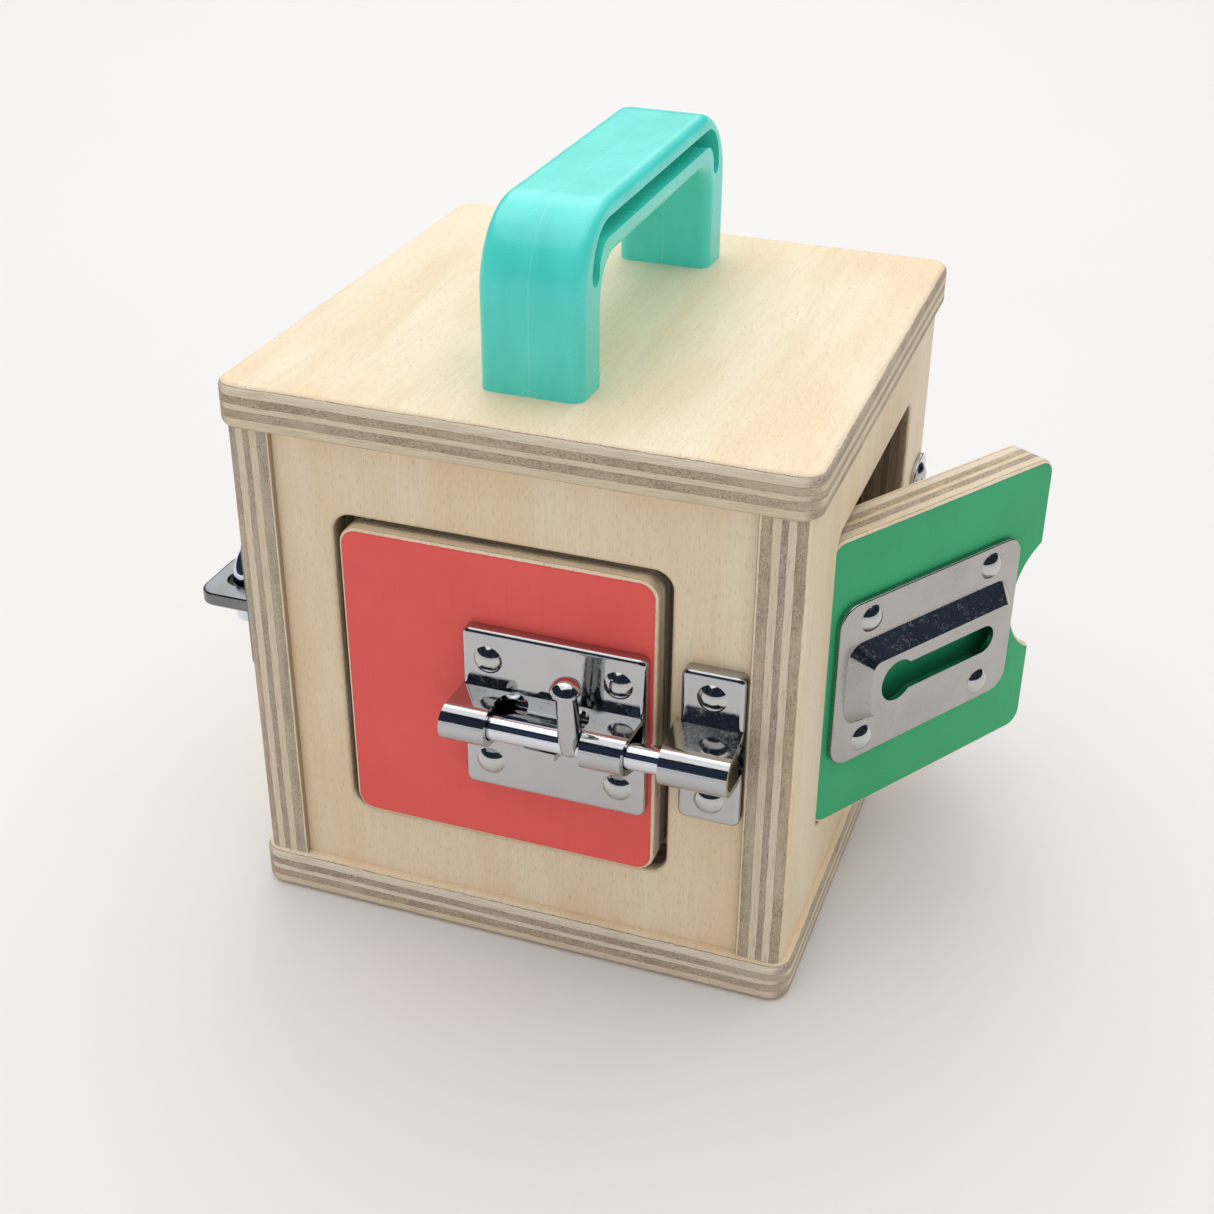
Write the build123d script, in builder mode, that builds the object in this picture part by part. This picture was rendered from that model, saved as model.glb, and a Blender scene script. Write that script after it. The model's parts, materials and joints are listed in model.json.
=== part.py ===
from build123d import *
import os
from math import cos, radians, sin

# Wooden latch box: a plywood cube with a carry handle and a latched door in each wall.
# Lengths are in millimetres. X is to the right of the front, Y to the back and Z up.
# The origin is the centre of the base's underside.
#
# Each wall has a face plane: x to the viewer's right, y up, z outward, origin at mid height.
# Each door has a door plane: origin on its pivot line at mid height, x to its free edge, z outward.

# Box
box_width = 152.0
box_depth = 152.0
box_height = 152.0
board_thickness = 12.0
board_corner_radius = 6.0
board_edge_radius = 2.0
side_overhang = 2.2
front_overhang = 1.4
front_recess = 1.6
wall_thickness = 12.0
wall_arris_radius = 2.8
overrun = 2.0

# Door openings
stile_width = 16.7
rail_height = 19.9
opening_corner_radius = 5.0
opening_edge_radius = 1.2
bolt_stile_width = 20.1
chain_stile_width = 28.7
hook_stile_width = 32.0
hasp_stile_width = 20.1

# Doors
hinge_gap = 2.7
free_gap = 2.5
end_gap = 1.5
door_thickness = 12.0
door_proud = 2.7
door_corner_radius = 5.0
door_edge_radius = 1.2
pivot_inset = 6.0
right_door_angle = 32.0
right_door_drop = 0.7
scoop_chord = 32.6
scoop_depth = 10.0
scoop_corner_radius = 1.5

# Pivot pins
pivot_radius = 1.5
pivot_reach = 8.0
pivot_end_clearance = 1.0
running_clearance = 0.05

# Dowels
dowel_radius = 3.0
dowel_in_board = 8.0
dowel_in_wall = 12.0
side_dowel_spread = 90.0
front_dowel_spread = 60.0
corner_dowel_rise = 14.0
dowel_chamfer = 0.8

# Screws
screw_radius = 1.5
screw_bite = 9.0
screw_head_radius = 3.8
screw_head_height = 1.9
screw_tip_chamfer = 0.9

# Carry handle
handle_inset = 18.4
handle_width = 26.6
handle_rise = 44.0
handle_leg = 15.0
handle_grip = 14.5
handle_outer_radius = 20.0
handle_inner_radius = 8.3
handle_edge_radius = 3.4
handle_groove_width = 4.9
handle_groove_depth = 9.0
handle_groove_bend = 9.0
handle_groove_foot = 28.4
groove_wall = 7.1
groove_roof = 3.9
handle_screw_radius = 2.2
handle_screw_reach = 13.0
handle_screw_head_radius = 4.4
handle_screw_head_height = 2.8

# Pressed sheet
sheet = 1.5
plate_edge_radius = 1.4
plate_corner_radius = 2.2

# Barrel bolt on the front door
bolt_centre_height = -0.4
bolt_plate_inset = 1.7
bolt_plate_width = 47.9
bolt_plate_height = 46.0
bolt_plate_rise = 3.5
bolt_screw_inset = 7.0
bolt_screw_spread = 30.0
rod_radius = 3.5
rod_rise = 9.3
rod_tail = 1.1
rod_length = 69.5
rod_tip_chamfer = 1.1
guide_radius = 5.45
guide_sheet = 1.6
guide_foot = 6.8
guide_lean = 2.0
collar_length = 12.0
window_length = 24.7
guide_end_inset = 0.6
tab_above_axis = 2.6
notch_below_axis = 1.3
far_notch_radius = 4.4
far_notch_inset = 4.7
near_notch_radius = 3.7
near_notch_inset = 3.4

# Bolt knob
knob_inset = 3.3
knob_lean = 10.5
knob_shift = 1.2
knob_reach = 18.0
knob_foot_radius = 3.0
knob_belly_reach = 5.0
knob_neck_radius = 2.5
knob_head_radius = 3.9
knob_lip = 0.7
knob_dome = 2.5

# Bolt keeper on the frame
keeper_inset = 3.7
keeper_width = 16.0
keeper_height = 43.4
keeper_rise = 3.8
keeper_guide_start = 1.2

# Chain slot plate on the right door
slot_plate_start = -2.4
slot_plate_inset = 1.8
slot_plate_height = 48.0
slot_plate_thickness = 1.8
slot_plate_corner_radius = 6.0
slot_plate_edge_radius = 0.5
slot_screw_inset = 11.5
slot_screw_rise = 36.5
slot_screw_shift = -0.5
channel_start = 3.4
channel_end_inset = 3.6
channel_height = 24.4
channel_corner_radius = 5.0
channel_rise = 5.2
channel_draft = 4.2
keyhole_radius = 5.9
keyhole_start = 13.7
slot_half_height = 4.05
slot_end_inset = 10.5

# Chain and its anchor
anchor_inset = 10.2
anchor_height_centre = 4.0
anchor_width = 18.0
anchor_height = 28.6
anchor_corner_radius = 6.5
anchor_thickness = 1.5
anchor_edge_radius = 0.4
anchor_screw_spread = 18.4
eye_wire_radius = 0.9
eye_bend_radius = 4.4
eye_reach = 6.8
link_wire_radius = 0.65
link_inner_length = 6.0
link_inner_width = 3.2
link_play = 0.15
upper_link_count = 5
lower_link_count = 6
button_radius = 5.25
button_thickness = 2.6
button_edge_radius = 0.9
button_neck_radius = 1.6
button_neck_length = 2.6

# Cabin hook on the left door
hook_pivot_inset = 37.3
hook_rise = 18.0
hook_standoff = 5.2
hook_radius = 2.8
hook_length = 58.0
hook_bend_radius = 6.0
hook_drop = 18.3
hook_ring_radius = 6.2
hook_ring_thickness = 5.2
hook_pivot_radius = 2.0
hook_pivot_depth = 8.0
hook_pivot_head_radius = 4.2
hook_pivot_head_height = 1.8
hook_pivot_head_gap = 0.3
hook_plate_thickness = 1.8
hook_boss_radius = 4.5
hook_boss_height = 0.5
hook_plate_width = 30.0
hook_plate_height = 20.0
hook_plate_overhang = 9.0
hook_plate_corner_radius = 3.0
hook_screw_place = 14.0
hook_screw_spread = 10.0

# Hook eye bracket on the frame
eye_plate_width = 22.0
eye_plate_height = 40.0
eye_plate_thickness = 2.0
eye_plate_corner_radius = 4.0
eye_screw_spread = 28.0
lug_reach = 16.5
lug_thickness = 4.0
lug_below_hook = 5.6
lug_corner_radius = 4.5
lug_edge_radius = 0.8
lug_hole_radius = 4.4
lug_shift = 1.2

# Hasp on the back door
hasp_height = 24.0
hasp_thickness = 1.8
hasp_pin_inset = 15.4
hasp_pin_radius = 1.2
hasp_pin_head_radius = 2.0
hasp_pin_head_height = 0.8
hasp_knuckle_radius = 2.4
hasp_knuckle_gap = 0.3
hasp_fixed_length = 26.0
hasp_corner_radius = 4.0
hasp_screw_place = 10.0
hasp_screw_spread = 13.0
hasp_lift = 0.3
hasp_end_margin = 3.2
hasp_slot_length = 20.0
hasp_slot_width = 6.4
staple_inset = 11.8
staple_plate_width = 16.0
staple_plate_height = 45.0
staple_plate_thickness = 2.0
staple_plate_corner_radius = 3.0
staple_screw_spread = 34.0
staple_stem_radius = 2.3
staple_wire_radius = 1.5
staple_bend_radius = 6.0
staple_lift = 0.5
staple_flange_radius = 3.2
staple_flange_thickness = 1.5
staple_flange_clearance = 0.3

# Worked out once
mid_height = box_height / 2
wall_height = box_height - 2 * board_thickness
side_face_distance = box_width / 2 - side_overhang
side_edge_distance = box_depth / 2 - front_overhang
front_face_distance = side_edge_distance - front_recess
side_panel_width = 2 * side_edge_distance
front_panel_width = 2 * (side_face_distance - wall_thickness)
side_panel_clear_width = side_panel_width - 2 * (front_recess + wall_thickness)
opening_width = min(front_panel_width, side_panel_clear_width) - 2 * stile_width
opening_height = wall_height - 2 * rail_height
front_opening_offset = (front_panel_width - opening_width) / 2 - bolt_stile_width
right_opening_offset = (side_panel_width - opening_width) / 2 - chain_stile_width
left_opening_offset = (side_panel_width - opening_width) / 2 - hook_stile_width
back_opening_offset = (front_panel_width - opening_width) / 2 - hasp_stile_width
door_width = opening_width - hinge_gap - free_gap
door_height = opening_height - 2 * end_gap
door_face = door_thickness / 2
frame_face = door_face - door_proud
free_edge = door_width - pivot_inset
bolt_plate_start = free_edge - bolt_plate_inset - bolt_plate_width
slot_plate_width = free_edge - scoop_depth - slot_plate_inset - slot_plate_start
channel_length = slot_plate_width - channel_start - channel_end_inset
slot_reach = channel_length - keyhole_start - slot_end_inset
hook_pivot_place = free_edge - hook_pivot_inset
hasp_pin_place = free_edge - hasp_pin_inset
hasp_fixed_start = hasp_pin_place - hasp_fixed_length
handle_span = box_depth - 2 * handle_inset


def wall_face(outward, distance):
    """Face plane of a wall."""
    right = Vector(0, 0, 1).cross(Vector(outward))
    return Plane(origin=Vector(outward) * distance + Vector(0, 0, mid_height), x_dir=right, z_dir=outward)


def door_plane(face, opening_offset, swing=0.0, drop=0.0):
    """Door plane of a door hung in the opening of a wall."""
    pivot_place = opening_offset - opening_width / 2 + hinge_gap + pivot_inset
    return Plane(face.offset(-frame_face) * Location((pivot_place, -drop, 0), (0, -swing, 0)))


def placed(plane, at, x_axis=(1, 0, 0), z_axis=(0, 0, 1)):
    """A plane given by coordinates and directions of another plane."""
    return Plane(plane * Plane(origin=at, x_dir=x_axis, z_dir=z_axis))


def upright(plane, at):
    """A plane square to the height, for pins and rods that stand."""
    return placed(plane, at, z_axis=(0, 1, 0))


def crosswise(plane, at):
    """A plane square to a door's width, its x outward, for sections of a bolt."""
    return placed(plane, at, x_axis=(0, 0, 1), z_axis=(1, 0, 0))


front_face = wall_face((0, -1, 0), front_face_distance)
right_face = wall_face((1, 0, 0), side_face_distance)
left_face = wall_face((-1, 0, 0), side_face_distance)
back_face = wall_face((0, 1, 0), front_face_distance)

front_door = door_plane(front_face, front_opening_offset)
right_door = door_plane(right_face, right_opening_offset, right_door_angle, right_door_drop)
right_door_closed = door_plane(right_face, right_opening_offset)
left_door = door_plane(left_face, left_opening_offset)
back_door = door_plane(back_face, back_opening_offset)


def bores(seat, spots, radius, depth):
    """Cylinders that go down from a seat plane, for cutting holes."""
    with BuildPart() as group:
        with BuildSketch(seat):
            with Locations(*spots):
                Circle(radius)
        extrude(amount=-depth)
    return group.part


def dome_screws(
    seat,
    spots,
    length=screw_bite,
    radius=screw_radius,
    head_radius=screw_head_radius,
    head_height=screw_head_height,
):
    """Dome-headed screws on a seat plane, one solid each."""
    dome_radius = (head_radius**2 + head_height**2) / (2 * head_height)
    with BuildPart(seat) as group:
        with Locations(*[(x, y, head_height - dome_radius) for x, y in spots]):
            Sphere(dome_radius)
        split(bisect_by=seat)
        with BuildSketch(seat):
            with Locations(*spots):
                Circle(radius)
        extrude(amount=-length)
        tips = group.edges().group_by(Axis(seat.origin, seat.z_dir))[0]
        chamfer(tips, length=screw_tip_chamfer)
    return group.part


def pair(spread, rise=0.0, shift=0.0):
    """Two spots one above the other, or four at the corners of a rectangle."""
    columns = [-rise / 2, rise / 2] if rise else [0.0]
    return [(shift + x, y) for x in columns for y in (-spread / 2, spread / 2)]


# Carcass boards

lid_underside = box_height - board_thickness
side_wall_centre = side_face_distance - wall_thickness / 2
front_wall_centre = front_face_distance - wall_thickness / 2
wall_dowel_spots = [(x, y) for x in (-side_wall_centre, side_wall_centre)
                    for y in (-side_dowel_spread / 2, side_dowel_spread / 2)]
wall_dowel_spots += [(x, y) for x in (-front_dowel_spread / 2, front_dowel_spread / 2)
                     for y in (-front_wall_centre, front_wall_centre)]
lid_dowel_top = Plane.XY.offset(lid_underside + dowel_in_board)
base_dowel_top = Plane.XY.offset(board_thickness + dowel_in_wall)
dowel_length = dowel_in_board + dowel_in_wall

corner_dowel_heights = (board_thickness + corner_dowel_rise, lid_underside - corner_dowel_rise)
corner_dowel_spots = [(y, z) for y in (-front_wall_centre, front_wall_centre) for z in corner_dowel_heights]
wall_joint_distance = side_face_distance - wall_thickness
right_corner_dowel_end = Plane(
    origin=(wall_joint_distance + dowel_in_board, 0, 0), x_dir=(0, 1, 0), z_dir=(1, 0, 0)
)
left_corner_dowel_end = Plane(
    origin=(dowel_in_wall - wall_joint_distance, 0, 0), x_dir=(0, 1, 0), z_dir=(1, 0, 0)
)

handle_leg_centre = (handle_span - handle_leg) / 2
handle_screw_spots = [(0, -handle_leg_centre), (0, handle_leg_centre)]
handle_screw_seat = Plane(origin=(0, 0, lid_underside), x_dir=(1, 0, 0), z_dir=(0, 0, -1))
handle_screw_length = board_thickness + handle_screw_reach


def board(height):
    """A square board with rounded corners and eased edges."""
    with BuildPart() as blank:
        with BuildSketch(Plane.XY.offset(height)):
            RectangleRounded(box_width, box_depth, board_corner_radius)
        extrude(amount=board_thickness)
        fillet(blank.faces().filter_by(Axis.Z).edges(), radius=board_edge_radius)
    return blank.part


def all_wall_dowels(top, grow=0.0):
    """The eight upright dowels of one board, or their holes."""
    return bores(top, wall_dowel_spots, dowel_radius, dowel_length + grow)


def corner_dowel_group():
    """The eight level dowels between the side panels and the front and back panels."""
    with BuildPart() as group:
        add(bores(right_corner_dowel_end, corner_dowel_spots, dowel_radius, dowel_length))
        add(bores(left_corner_dowel_end, corner_dowel_spots, dowel_radius, dowel_length))
    return group.part


with BuildPart() as base_board:
    add(board(0))
    add(all_wall_dowels(base_dowel_top), mode=Mode.SUBTRACT)

with BuildPart() as lid_board:
    add(board(lid_underside))
    add(all_wall_dowels(lid_dowel_top), mode=Mode.SUBTRACT)
    add(bores(handle_screw_seat, handle_screw_spots, handle_screw_radius, board_thickness), mode=Mode.SUBTRACT)

with BuildPart() as base_dowels:
    add(all_wall_dowels(base_dowel_top))
    chamfer(base_dowels.edges().filter_by(GeomType.CIRCLE), length=dowel_chamfer)

with BuildPart() as lid_dowels:
    add(all_wall_dowels(lid_dowel_top))
    chamfer(lid_dowels.edges().filter_by(GeomType.CIRCLE), length=dowel_chamfer)

with BuildPart() as corner_dowels:
    add(corner_dowel_group())
    chamfer(corner_dowels.edges().filter_by(GeomType.CIRCLE), length=dowel_chamfer)


def pivot_pins(hinge):
    """The two pins that a door turns on, held in the frame above and below it."""
    pin_length = 2 * pivot_reach + end_gap
    with BuildPart() as group:
        with BuildSketch(upright(hinge, (0, door_height / 2 - pivot_reach, 0))):
            Circle(pivot_radius)
        extrude(amount=pin_length)
        with BuildSketch(upright(hinge, (0, -door_height / 2 + pivot_reach, 0))):
            Circle(pivot_radius)
        extrude(amount=-pin_length)
    return group.part


def wall_panel(face, width, opening_offset, hinge):
    """A wall board with its door opening, eased on the outside, dowel holes and pivot holes."""
    with BuildPart() as panel:
        with BuildSketch(face.offset(-wall_thickness)):
            Rectangle(width, wall_height)
            with Locations((opening_offset, 0)):
                RectangleRounded(opening_width, opening_height, opening_corner_radius, mode=Mode.SUBTRACT)
        extrude(amount=wall_thickness)
        outer = panel.faces().sort_by(Axis(face.origin, face.z_dir))[-1]
        fillet(outer.inner_wires().edges(), radius=opening_edge_radius)
        add(all_wall_dowels(lid_dowel_top), mode=Mode.SUBTRACT)
        add(all_wall_dowels(base_dowel_top), mode=Mode.SUBTRACT)
        add(corner_dowel_group(), mode=Mode.SUBTRACT)
        add(pivot_pins(hinge), mode=Mode.SUBTRACT)
    return panel.part


def round_arrises(panel, face):
    """The two upright outer edges of a side panel."""
    outer_edges = panel.edges().filter_by(Axis.Z).group_by(Axis(face.origin, face.z_dir))[-1]
    return outer_edges.group_by(Axis.Y)[0] + outer_edges.group_by(Axis.Y)[-1]


# Doors

def door_board(door, scoop=False):
    """A door board with its front edges eased and the two pivot bores."""
    scoop_radius = (scoop_chord**2 / 4 + scoop_depth**2) / (2 * scoop_depth)
    with BuildPart() as blank:
        with BuildSketch(door.offset(-door_face)) as outline:
            with Locations((free_edge - door_width / 2, 0)):
                RectangleRounded(door_width, door_height, door_corner_radius)
            if scoop:
                with Locations((free_edge - scoop_depth + scoop_radius, 0)):
                    Circle(scoop_radius, mode=Mode.SUBTRACT)
                scoop_ends = outline.vertices().sort_by(Axis.X)[-4:].sort_by(Axis.Y)[1:3]
                fillet(scoop_ends, radius=scoop_corner_radius)
        extrude(amount=door_thickness)
        outer = blank.faces().sort_by(Axis(door.origin, door.z_dir))[-1]
        fillet(outer.edges(), radius=door_edge_radius)
        for side in (1, -1):
            with BuildSketch(upright(door, (0, side * door_height / 2, 0))):
                Circle(pivot_radius + running_clearance)
            extrude(amount=-side * (pivot_reach + pivot_end_clearance), mode=Mode.SUBTRACT)
    return blank.part


def pressed_plate(seat, width, height, rise):
    """A plate pressed from sheet, standing off its seat on a turned-down rim."""
    with BuildPart() as plate:
        with BuildSketch(seat):
            RectangleRounded(width, height, plate_corner_radius)
        extrude(amount=rise)
        front = plate.faces().sort_by(Axis(seat.origin, seat.z_dir))[-1]
        fillet(front.edges(), radius=plate_edge_radius)
        with BuildSketch(seat):
            RectangleRounded(width - 2 * sheet, height - 2 * sheet, plate_corner_radius - sheet)
        extrude(amount=rise - sheet, mode=Mode.SUBTRACT)
    return plate.part


def flat_plate(seat, width, height, thickness, corner_radius, edge_radius):
    """A flat plate with rounded corners and its front edge eased."""
    with BuildPart() as plate:
        with BuildSketch(seat):
            RectangleRounded(width, height, corner_radius)
        extrude(amount=thickness)
        front = plate.faces().sort_by(Axis(seat.origin, seat.z_dir))[-1]
        fillet(front.edges(), radius=edge_radius)
    return plate.part


# Front door and its barrel bolt

bolt_seat = placed(front_door, (bolt_plate_start + bolt_plate_width / 2, bolt_centre_height, door_face))
bolt_screw_spots = pair(bolt_screw_spread, bolt_plate_width - 2 * bolt_screw_inset)
bolt_side = placed(front_door, (0, bolt_centre_height, 0), z_axis=(0, -1, 0))
rod_level = door_face + rod_rise
rod_start = bolt_plate_start - rod_tail
window_start = bolt_plate_start - guide_lean + collar_length
window_end = window_start + window_length
tab_level = rod_level + tab_above_axis
notch_level = rod_level - notch_below_axis
knob_place = window_end - knob_inset

keeper_start = free_edge + free_gap + keeper_inset
keeper_seat = placed(front_door, (keeper_start + keeper_width / 2, bolt_centre_height, frame_face))
keeper_screw_spots = pair(bolt_screw_spread)


def guide(start, end, foot_level, inset=0.0, lean=0.0):
    """A half-round sleeve about the rod, on sides that widen down to a foot level."""
    with BuildPart() as sleeve:
        with BuildSketch(crosswise(front_door, (start - lean, bolt_centre_height, 0))):
            with Locations((rod_level, 0)):
                Circle(guide_radius - inset)
            with Locations((foot_level, 0)):
                Rectangle(sheet, 2 * (guide_foot - inset), align=(Align.MAX, Align.CENTER))
            make_hull()
        extrude(amount=end - start + lean)
        if lean:
            crown_level = rod_level + guide_radius
            with BuildSketch(bolt_side):
                with BuildLine():
                    Polyline(
                        (start, foot_level - sheet),
                        (end, foot_level - sheet),
                        (end, foot_level),
                        (end - lean, crown_level),
                        (start - lean, crown_level),
                        (start, foot_level),
                        close=True,
                    )
                make_face()
            extrude(amount=guide_foot, both=True, mode=Mode.INTERSECT)
    return sleeve.part


with BuildPart() as front_panel:
    add(wall_panel(front_face, front_panel_width, front_opening_offset, front_door))
    add(bores(keeper_seat, keeper_screw_spots, screw_radius, screw_bite), mode=Mode.SUBTRACT)

with BuildPart() as front_door_pivots:
    add(pivot_pins(front_door))

with BuildPart() as front_door_panel:
    add(door_board(front_door))
    add(bores(bolt_seat, bolt_screw_spots, screw_radius, screw_bite), mode=Mode.SUBTRACT)

with BuildPart() as bolt_housing:
    plate_front = door_face + bolt_plate_rise
    guide_end = bolt_plate_start + bolt_plate_width - guide_end_inset
    add(pressed_plate(bolt_seat, bolt_plate_width, bolt_plate_height, bolt_plate_rise))
    add(guide(bolt_plate_start, guide_end, plate_front, lean=guide_lean))
    hollow_foot = plate_front + sheet
    add(guide(rod_start - overrun, guide_end + overrun, hollow_foot, inset=guide_sheet), mode=Mode.SUBTRACT)
    with BuildSketch(bolt_side):
        with Locations((window_start, tab_level)):
            Rectangle(window_length, 2 * guide_radius, align=(Align.MIN, Align.MIN))
        with Locations((window_start, notch_level)):
            Rectangle(far_notch_inset + far_notch_radius, 2 * guide_radius, align=(Align.MIN, Align.MIN))
        with Locations((window_end, notch_level)):
            Rectangle(near_notch_inset + near_notch_radius, 2 * guide_radius, align=(Align.MAX, Align.MIN))
        with Locations((window_start + far_notch_inset, notch_level)):
            Circle(far_notch_radius)
        with Locations((window_end - near_notch_inset, notch_level)):
            Circle(near_notch_radius)
    extrude(amount=guide_foot + overrun, both=True, mode=Mode.SUBTRACT)
    with BuildSketch(bolt_side):
        with Locations((window_start, notch_level)):
            Rectangle(window_length, 2 * guide_radius, align=(Align.MIN, Align.MIN))
    extrude(amount=-guide_foot - overrun, mode=Mode.SUBTRACT)
    add(
        bores(bolt_seat.offset(bolt_plate_rise), bolt_screw_spots, screw_radius, bolt_plate_rise),
        mode=Mode.SUBTRACT,
    )

with BuildPart() as bolt_housing_screws:
    add(dome_screws(bolt_seat.offset(bolt_plate_rise), bolt_screw_spots, bolt_plate_rise + screw_bite))

with BuildPart() as bolt_rod:
    with BuildSketch(crosswise(front_door, (rod_start, bolt_centre_height, rod_level))):
        Circle(rod_radius)
    extrude(amount=rod_length)
    chamfer(bolt_rod.edges().filter_by(GeomType.CIRCLE), length=rod_tip_chamfer)

with BuildPart() as bolt_knob:
    lean = radians(knob_lean)
    knob_plane = placed(
        front_door,
        (knob_place, bolt_centre_height, rod_level + knob_shift),
        z_axis=(0, -sin(lean), cos(lean)),
    )
    knob_top = knob_reach + knob_lip + knob_dome
    knob_dome_radius = (knob_head_radius**2 + knob_dome**2) / (2 * knob_dome)
    with BuildSketch(knob_plane):
        with BuildLine():
            JernArc((0, -knob_foot_radius), (1, 0), knob_foot_radius, 90)
            Line((0, -knob_foot_radius), (0, knob_top))
            Polyline(
                (knob_foot_radius, 0),
                (knob_foot_radius, knob_belly_reach),
                (knob_neck_radius, knob_reach),
                (knob_head_radius, knob_reach),
                (knob_head_radius, knob_reach + knob_lip),
            )
            RadiusArc((knob_head_radius, knob_reach + knob_lip), (0, knob_top), -knob_dome_radius)
        make_face()
    revolve(axis=Axis(knob_plane.origin, knob_plane.y_dir))
    with BuildSketch(crosswise(front_door, (knob_place - knob_head_radius, bolt_centre_height, rod_level))):
        Circle(rod_radius + running_clearance)
    extrude(amount=2 * knob_head_radius, mode=Mode.SUBTRACT)

with BuildPart() as bolt_keeper:
    keeper_front = frame_face + keeper_rise
    keeper_end = keeper_start + keeper_width
    guide_start = keeper_start - keeper_guide_start
    add(pressed_plate(keeper_seat, keeper_width, keeper_height, keeper_rise))
    add(guide(guide_start, keeper_end, keeper_front))
    add(guide(guide_start - overrun, keeper_end + overrun, keeper_front, inset=guide_sheet), mode=Mode.SUBTRACT)
    add(
        bores(keeper_seat.offset(keeper_rise), keeper_screw_spots, screw_radius, keeper_rise),
        mode=Mode.SUBTRACT,
    )

with BuildPart() as bolt_keeper_screws:
    add(dome_screws(keeper_seat.offset(keeper_rise), keeper_screw_spots, keeper_rise + screw_bite))


# Right door, its chain slot plate and the chain

slot_seat = placed(right_door, (slot_plate_start + slot_plate_width / 2, bolt_centre_height, door_face))
slot_screw_spots = pair(slot_screw_rise, slot_plate_width - 2 * slot_screw_inset, slot_screw_shift)
channel_centre = channel_start + (channel_length - slot_plate_width) / 2
keyhole_place = channel_centre - channel_length / 2 + keyhole_start
channel_top = slot_plate_thickness + channel_rise

anchor_seat = placed(right_face, (side_edge_distance - anchor_inset, anchor_height_centre, 0))
anchor_screw_spots = pair(anchor_screw_spread)
chain_level = anchor_thickness + eye_reach
link_bend_radius = link_inner_width / 2 + link_wire_radius
link_half_straight = link_inner_length / 2 + link_wire_radius - link_bend_radius
link_pitch = link_inner_length - link_play
first_link_top = link_wire_radius + eye_wire_radius + link_play - eye_bend_radius


def channel(low_level, high_level, inset):
    """The raised channel of the slot plate, or the hollow under it."""
    low_corner = channel_corner_radius - inset
    high_corner = low_corner - channel_draft / 2
    high_inset = inset + channel_draft
    with BuildPart() as raised:
        with BuildSketch(slot_seat.offset(low_level)):
            with Locations((channel_centre, 0)):
                RectangleRounded(channel_length - 2 * inset, channel_height - 2 * inset, low_corner)
        with BuildSketch(slot_seat.offset(high_level)):
            with Locations((channel_centre, 0)):
                RectangleRounded(channel_length - 2 * high_inset, channel_height - 2 * high_inset, high_corner)
        loft()
    return raised.part


def chain_link(link_plane):
    """One welded link, long in its plane's y."""
    with BuildPart() as link:
        with BuildLine(link_plane) as route:
            Line((link_bend_radius, -link_half_straight), (link_bend_radius, link_half_straight))
            CenterArc((0, link_half_straight), link_bend_radius, 0, 180)
            Line((-link_bend_radius, link_half_straight), (-link_bend_radius, -link_half_straight))
            CenterArc((0, -link_half_straight), link_bend_radius, 180, 180)
        start = Plane(
            origin=link_plane.from_local_coords((link_bend_radius, -link_half_straight, 0)),
            z_dir=link_plane.y_dir,
        )
        with BuildSketch(start):
            Circle(link_wire_radius)
        sweep(path=route.wire())
    return link.part


def chain_run(first, count):
    """A run of links, each turned a quarter from the one above, one solid each."""
    with BuildPart() as run:
        for index in range(first, first + count):
            top = first_link_top - index * link_pitch
            centre = (0, top - link_half_straight - link_bend_radius, chain_level)
            across = (1, 0, 0) if index % 2 == 0 else (0, 0, 1)
            facing = (0, 0, 1) if index % 2 == 0 else (-1, 0, 0)
            add(chain_link(placed(anchor_seat, centre, across, facing)))
    return run.part


with BuildPart() as right_side_panel:
    add(wall_panel(right_face, side_panel_width, right_opening_offset, right_door_closed))
    fillet(round_arrises(right_side_panel, right_face), radius=wall_arris_radius)
    add(bores(anchor_seat, anchor_screw_spots, screw_radius, screw_bite), mode=Mode.SUBTRACT)

with BuildPart() as right_door_pivots:
    add(pivot_pins(right_door_closed))

with BuildPart() as right_door_panel:
    add(door_board(right_door, scoop=True))
    add(bores(slot_seat, slot_screw_spots, screw_radius, screw_bite), mode=Mode.SUBTRACT)

with BuildPart() as chain_slot_plate:
    add(
        flat_plate(
            slot_seat,
            slot_plate_width,
            slot_plate_height,
            slot_plate_thickness,
            slot_plate_corner_radius,
            slot_plate_edge_radius,
        )
    )
    add(channel(slot_plate_thickness, channel_top, 0))
    add(channel(slot_plate_thickness - sheet, channel_top - sheet, sheet), mode=Mode.SUBTRACT)
    with BuildSketch(slot_seat):
        with Locations((channel_centre, 0)):
            RectangleRounded(
                channel_length - 2 * sheet, channel_height - 2 * sheet, channel_corner_radius - sheet
            )
    extrude(amount=slot_plate_thickness - sheet, mode=Mode.SUBTRACT)
    with BuildSketch(slot_seat.offset(channel_top)):
        with Locations((keyhole_place, 0)):
            Circle(keyhole_radius)
            Rectangle(slot_reach - slot_half_height, 2 * slot_half_height, align=(Align.MIN, Align.CENTER))
        with Locations((keyhole_place + slot_reach - slot_half_height, 0)):
            Circle(slot_half_height)
    extrude(amount=-2 * sheet, mode=Mode.SUBTRACT)
    add(
        bores(slot_seat.offset(slot_plate_thickness), slot_screw_spots, screw_radius, slot_plate_thickness),
        mode=Mode.SUBTRACT,
    )

with BuildPart() as chain_slot_plate_screws:
    add(
        dome_screws(
            slot_seat.offset(slot_plate_thickness), slot_screw_spots, slot_plate_thickness + screw_bite
        )
    )

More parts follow.
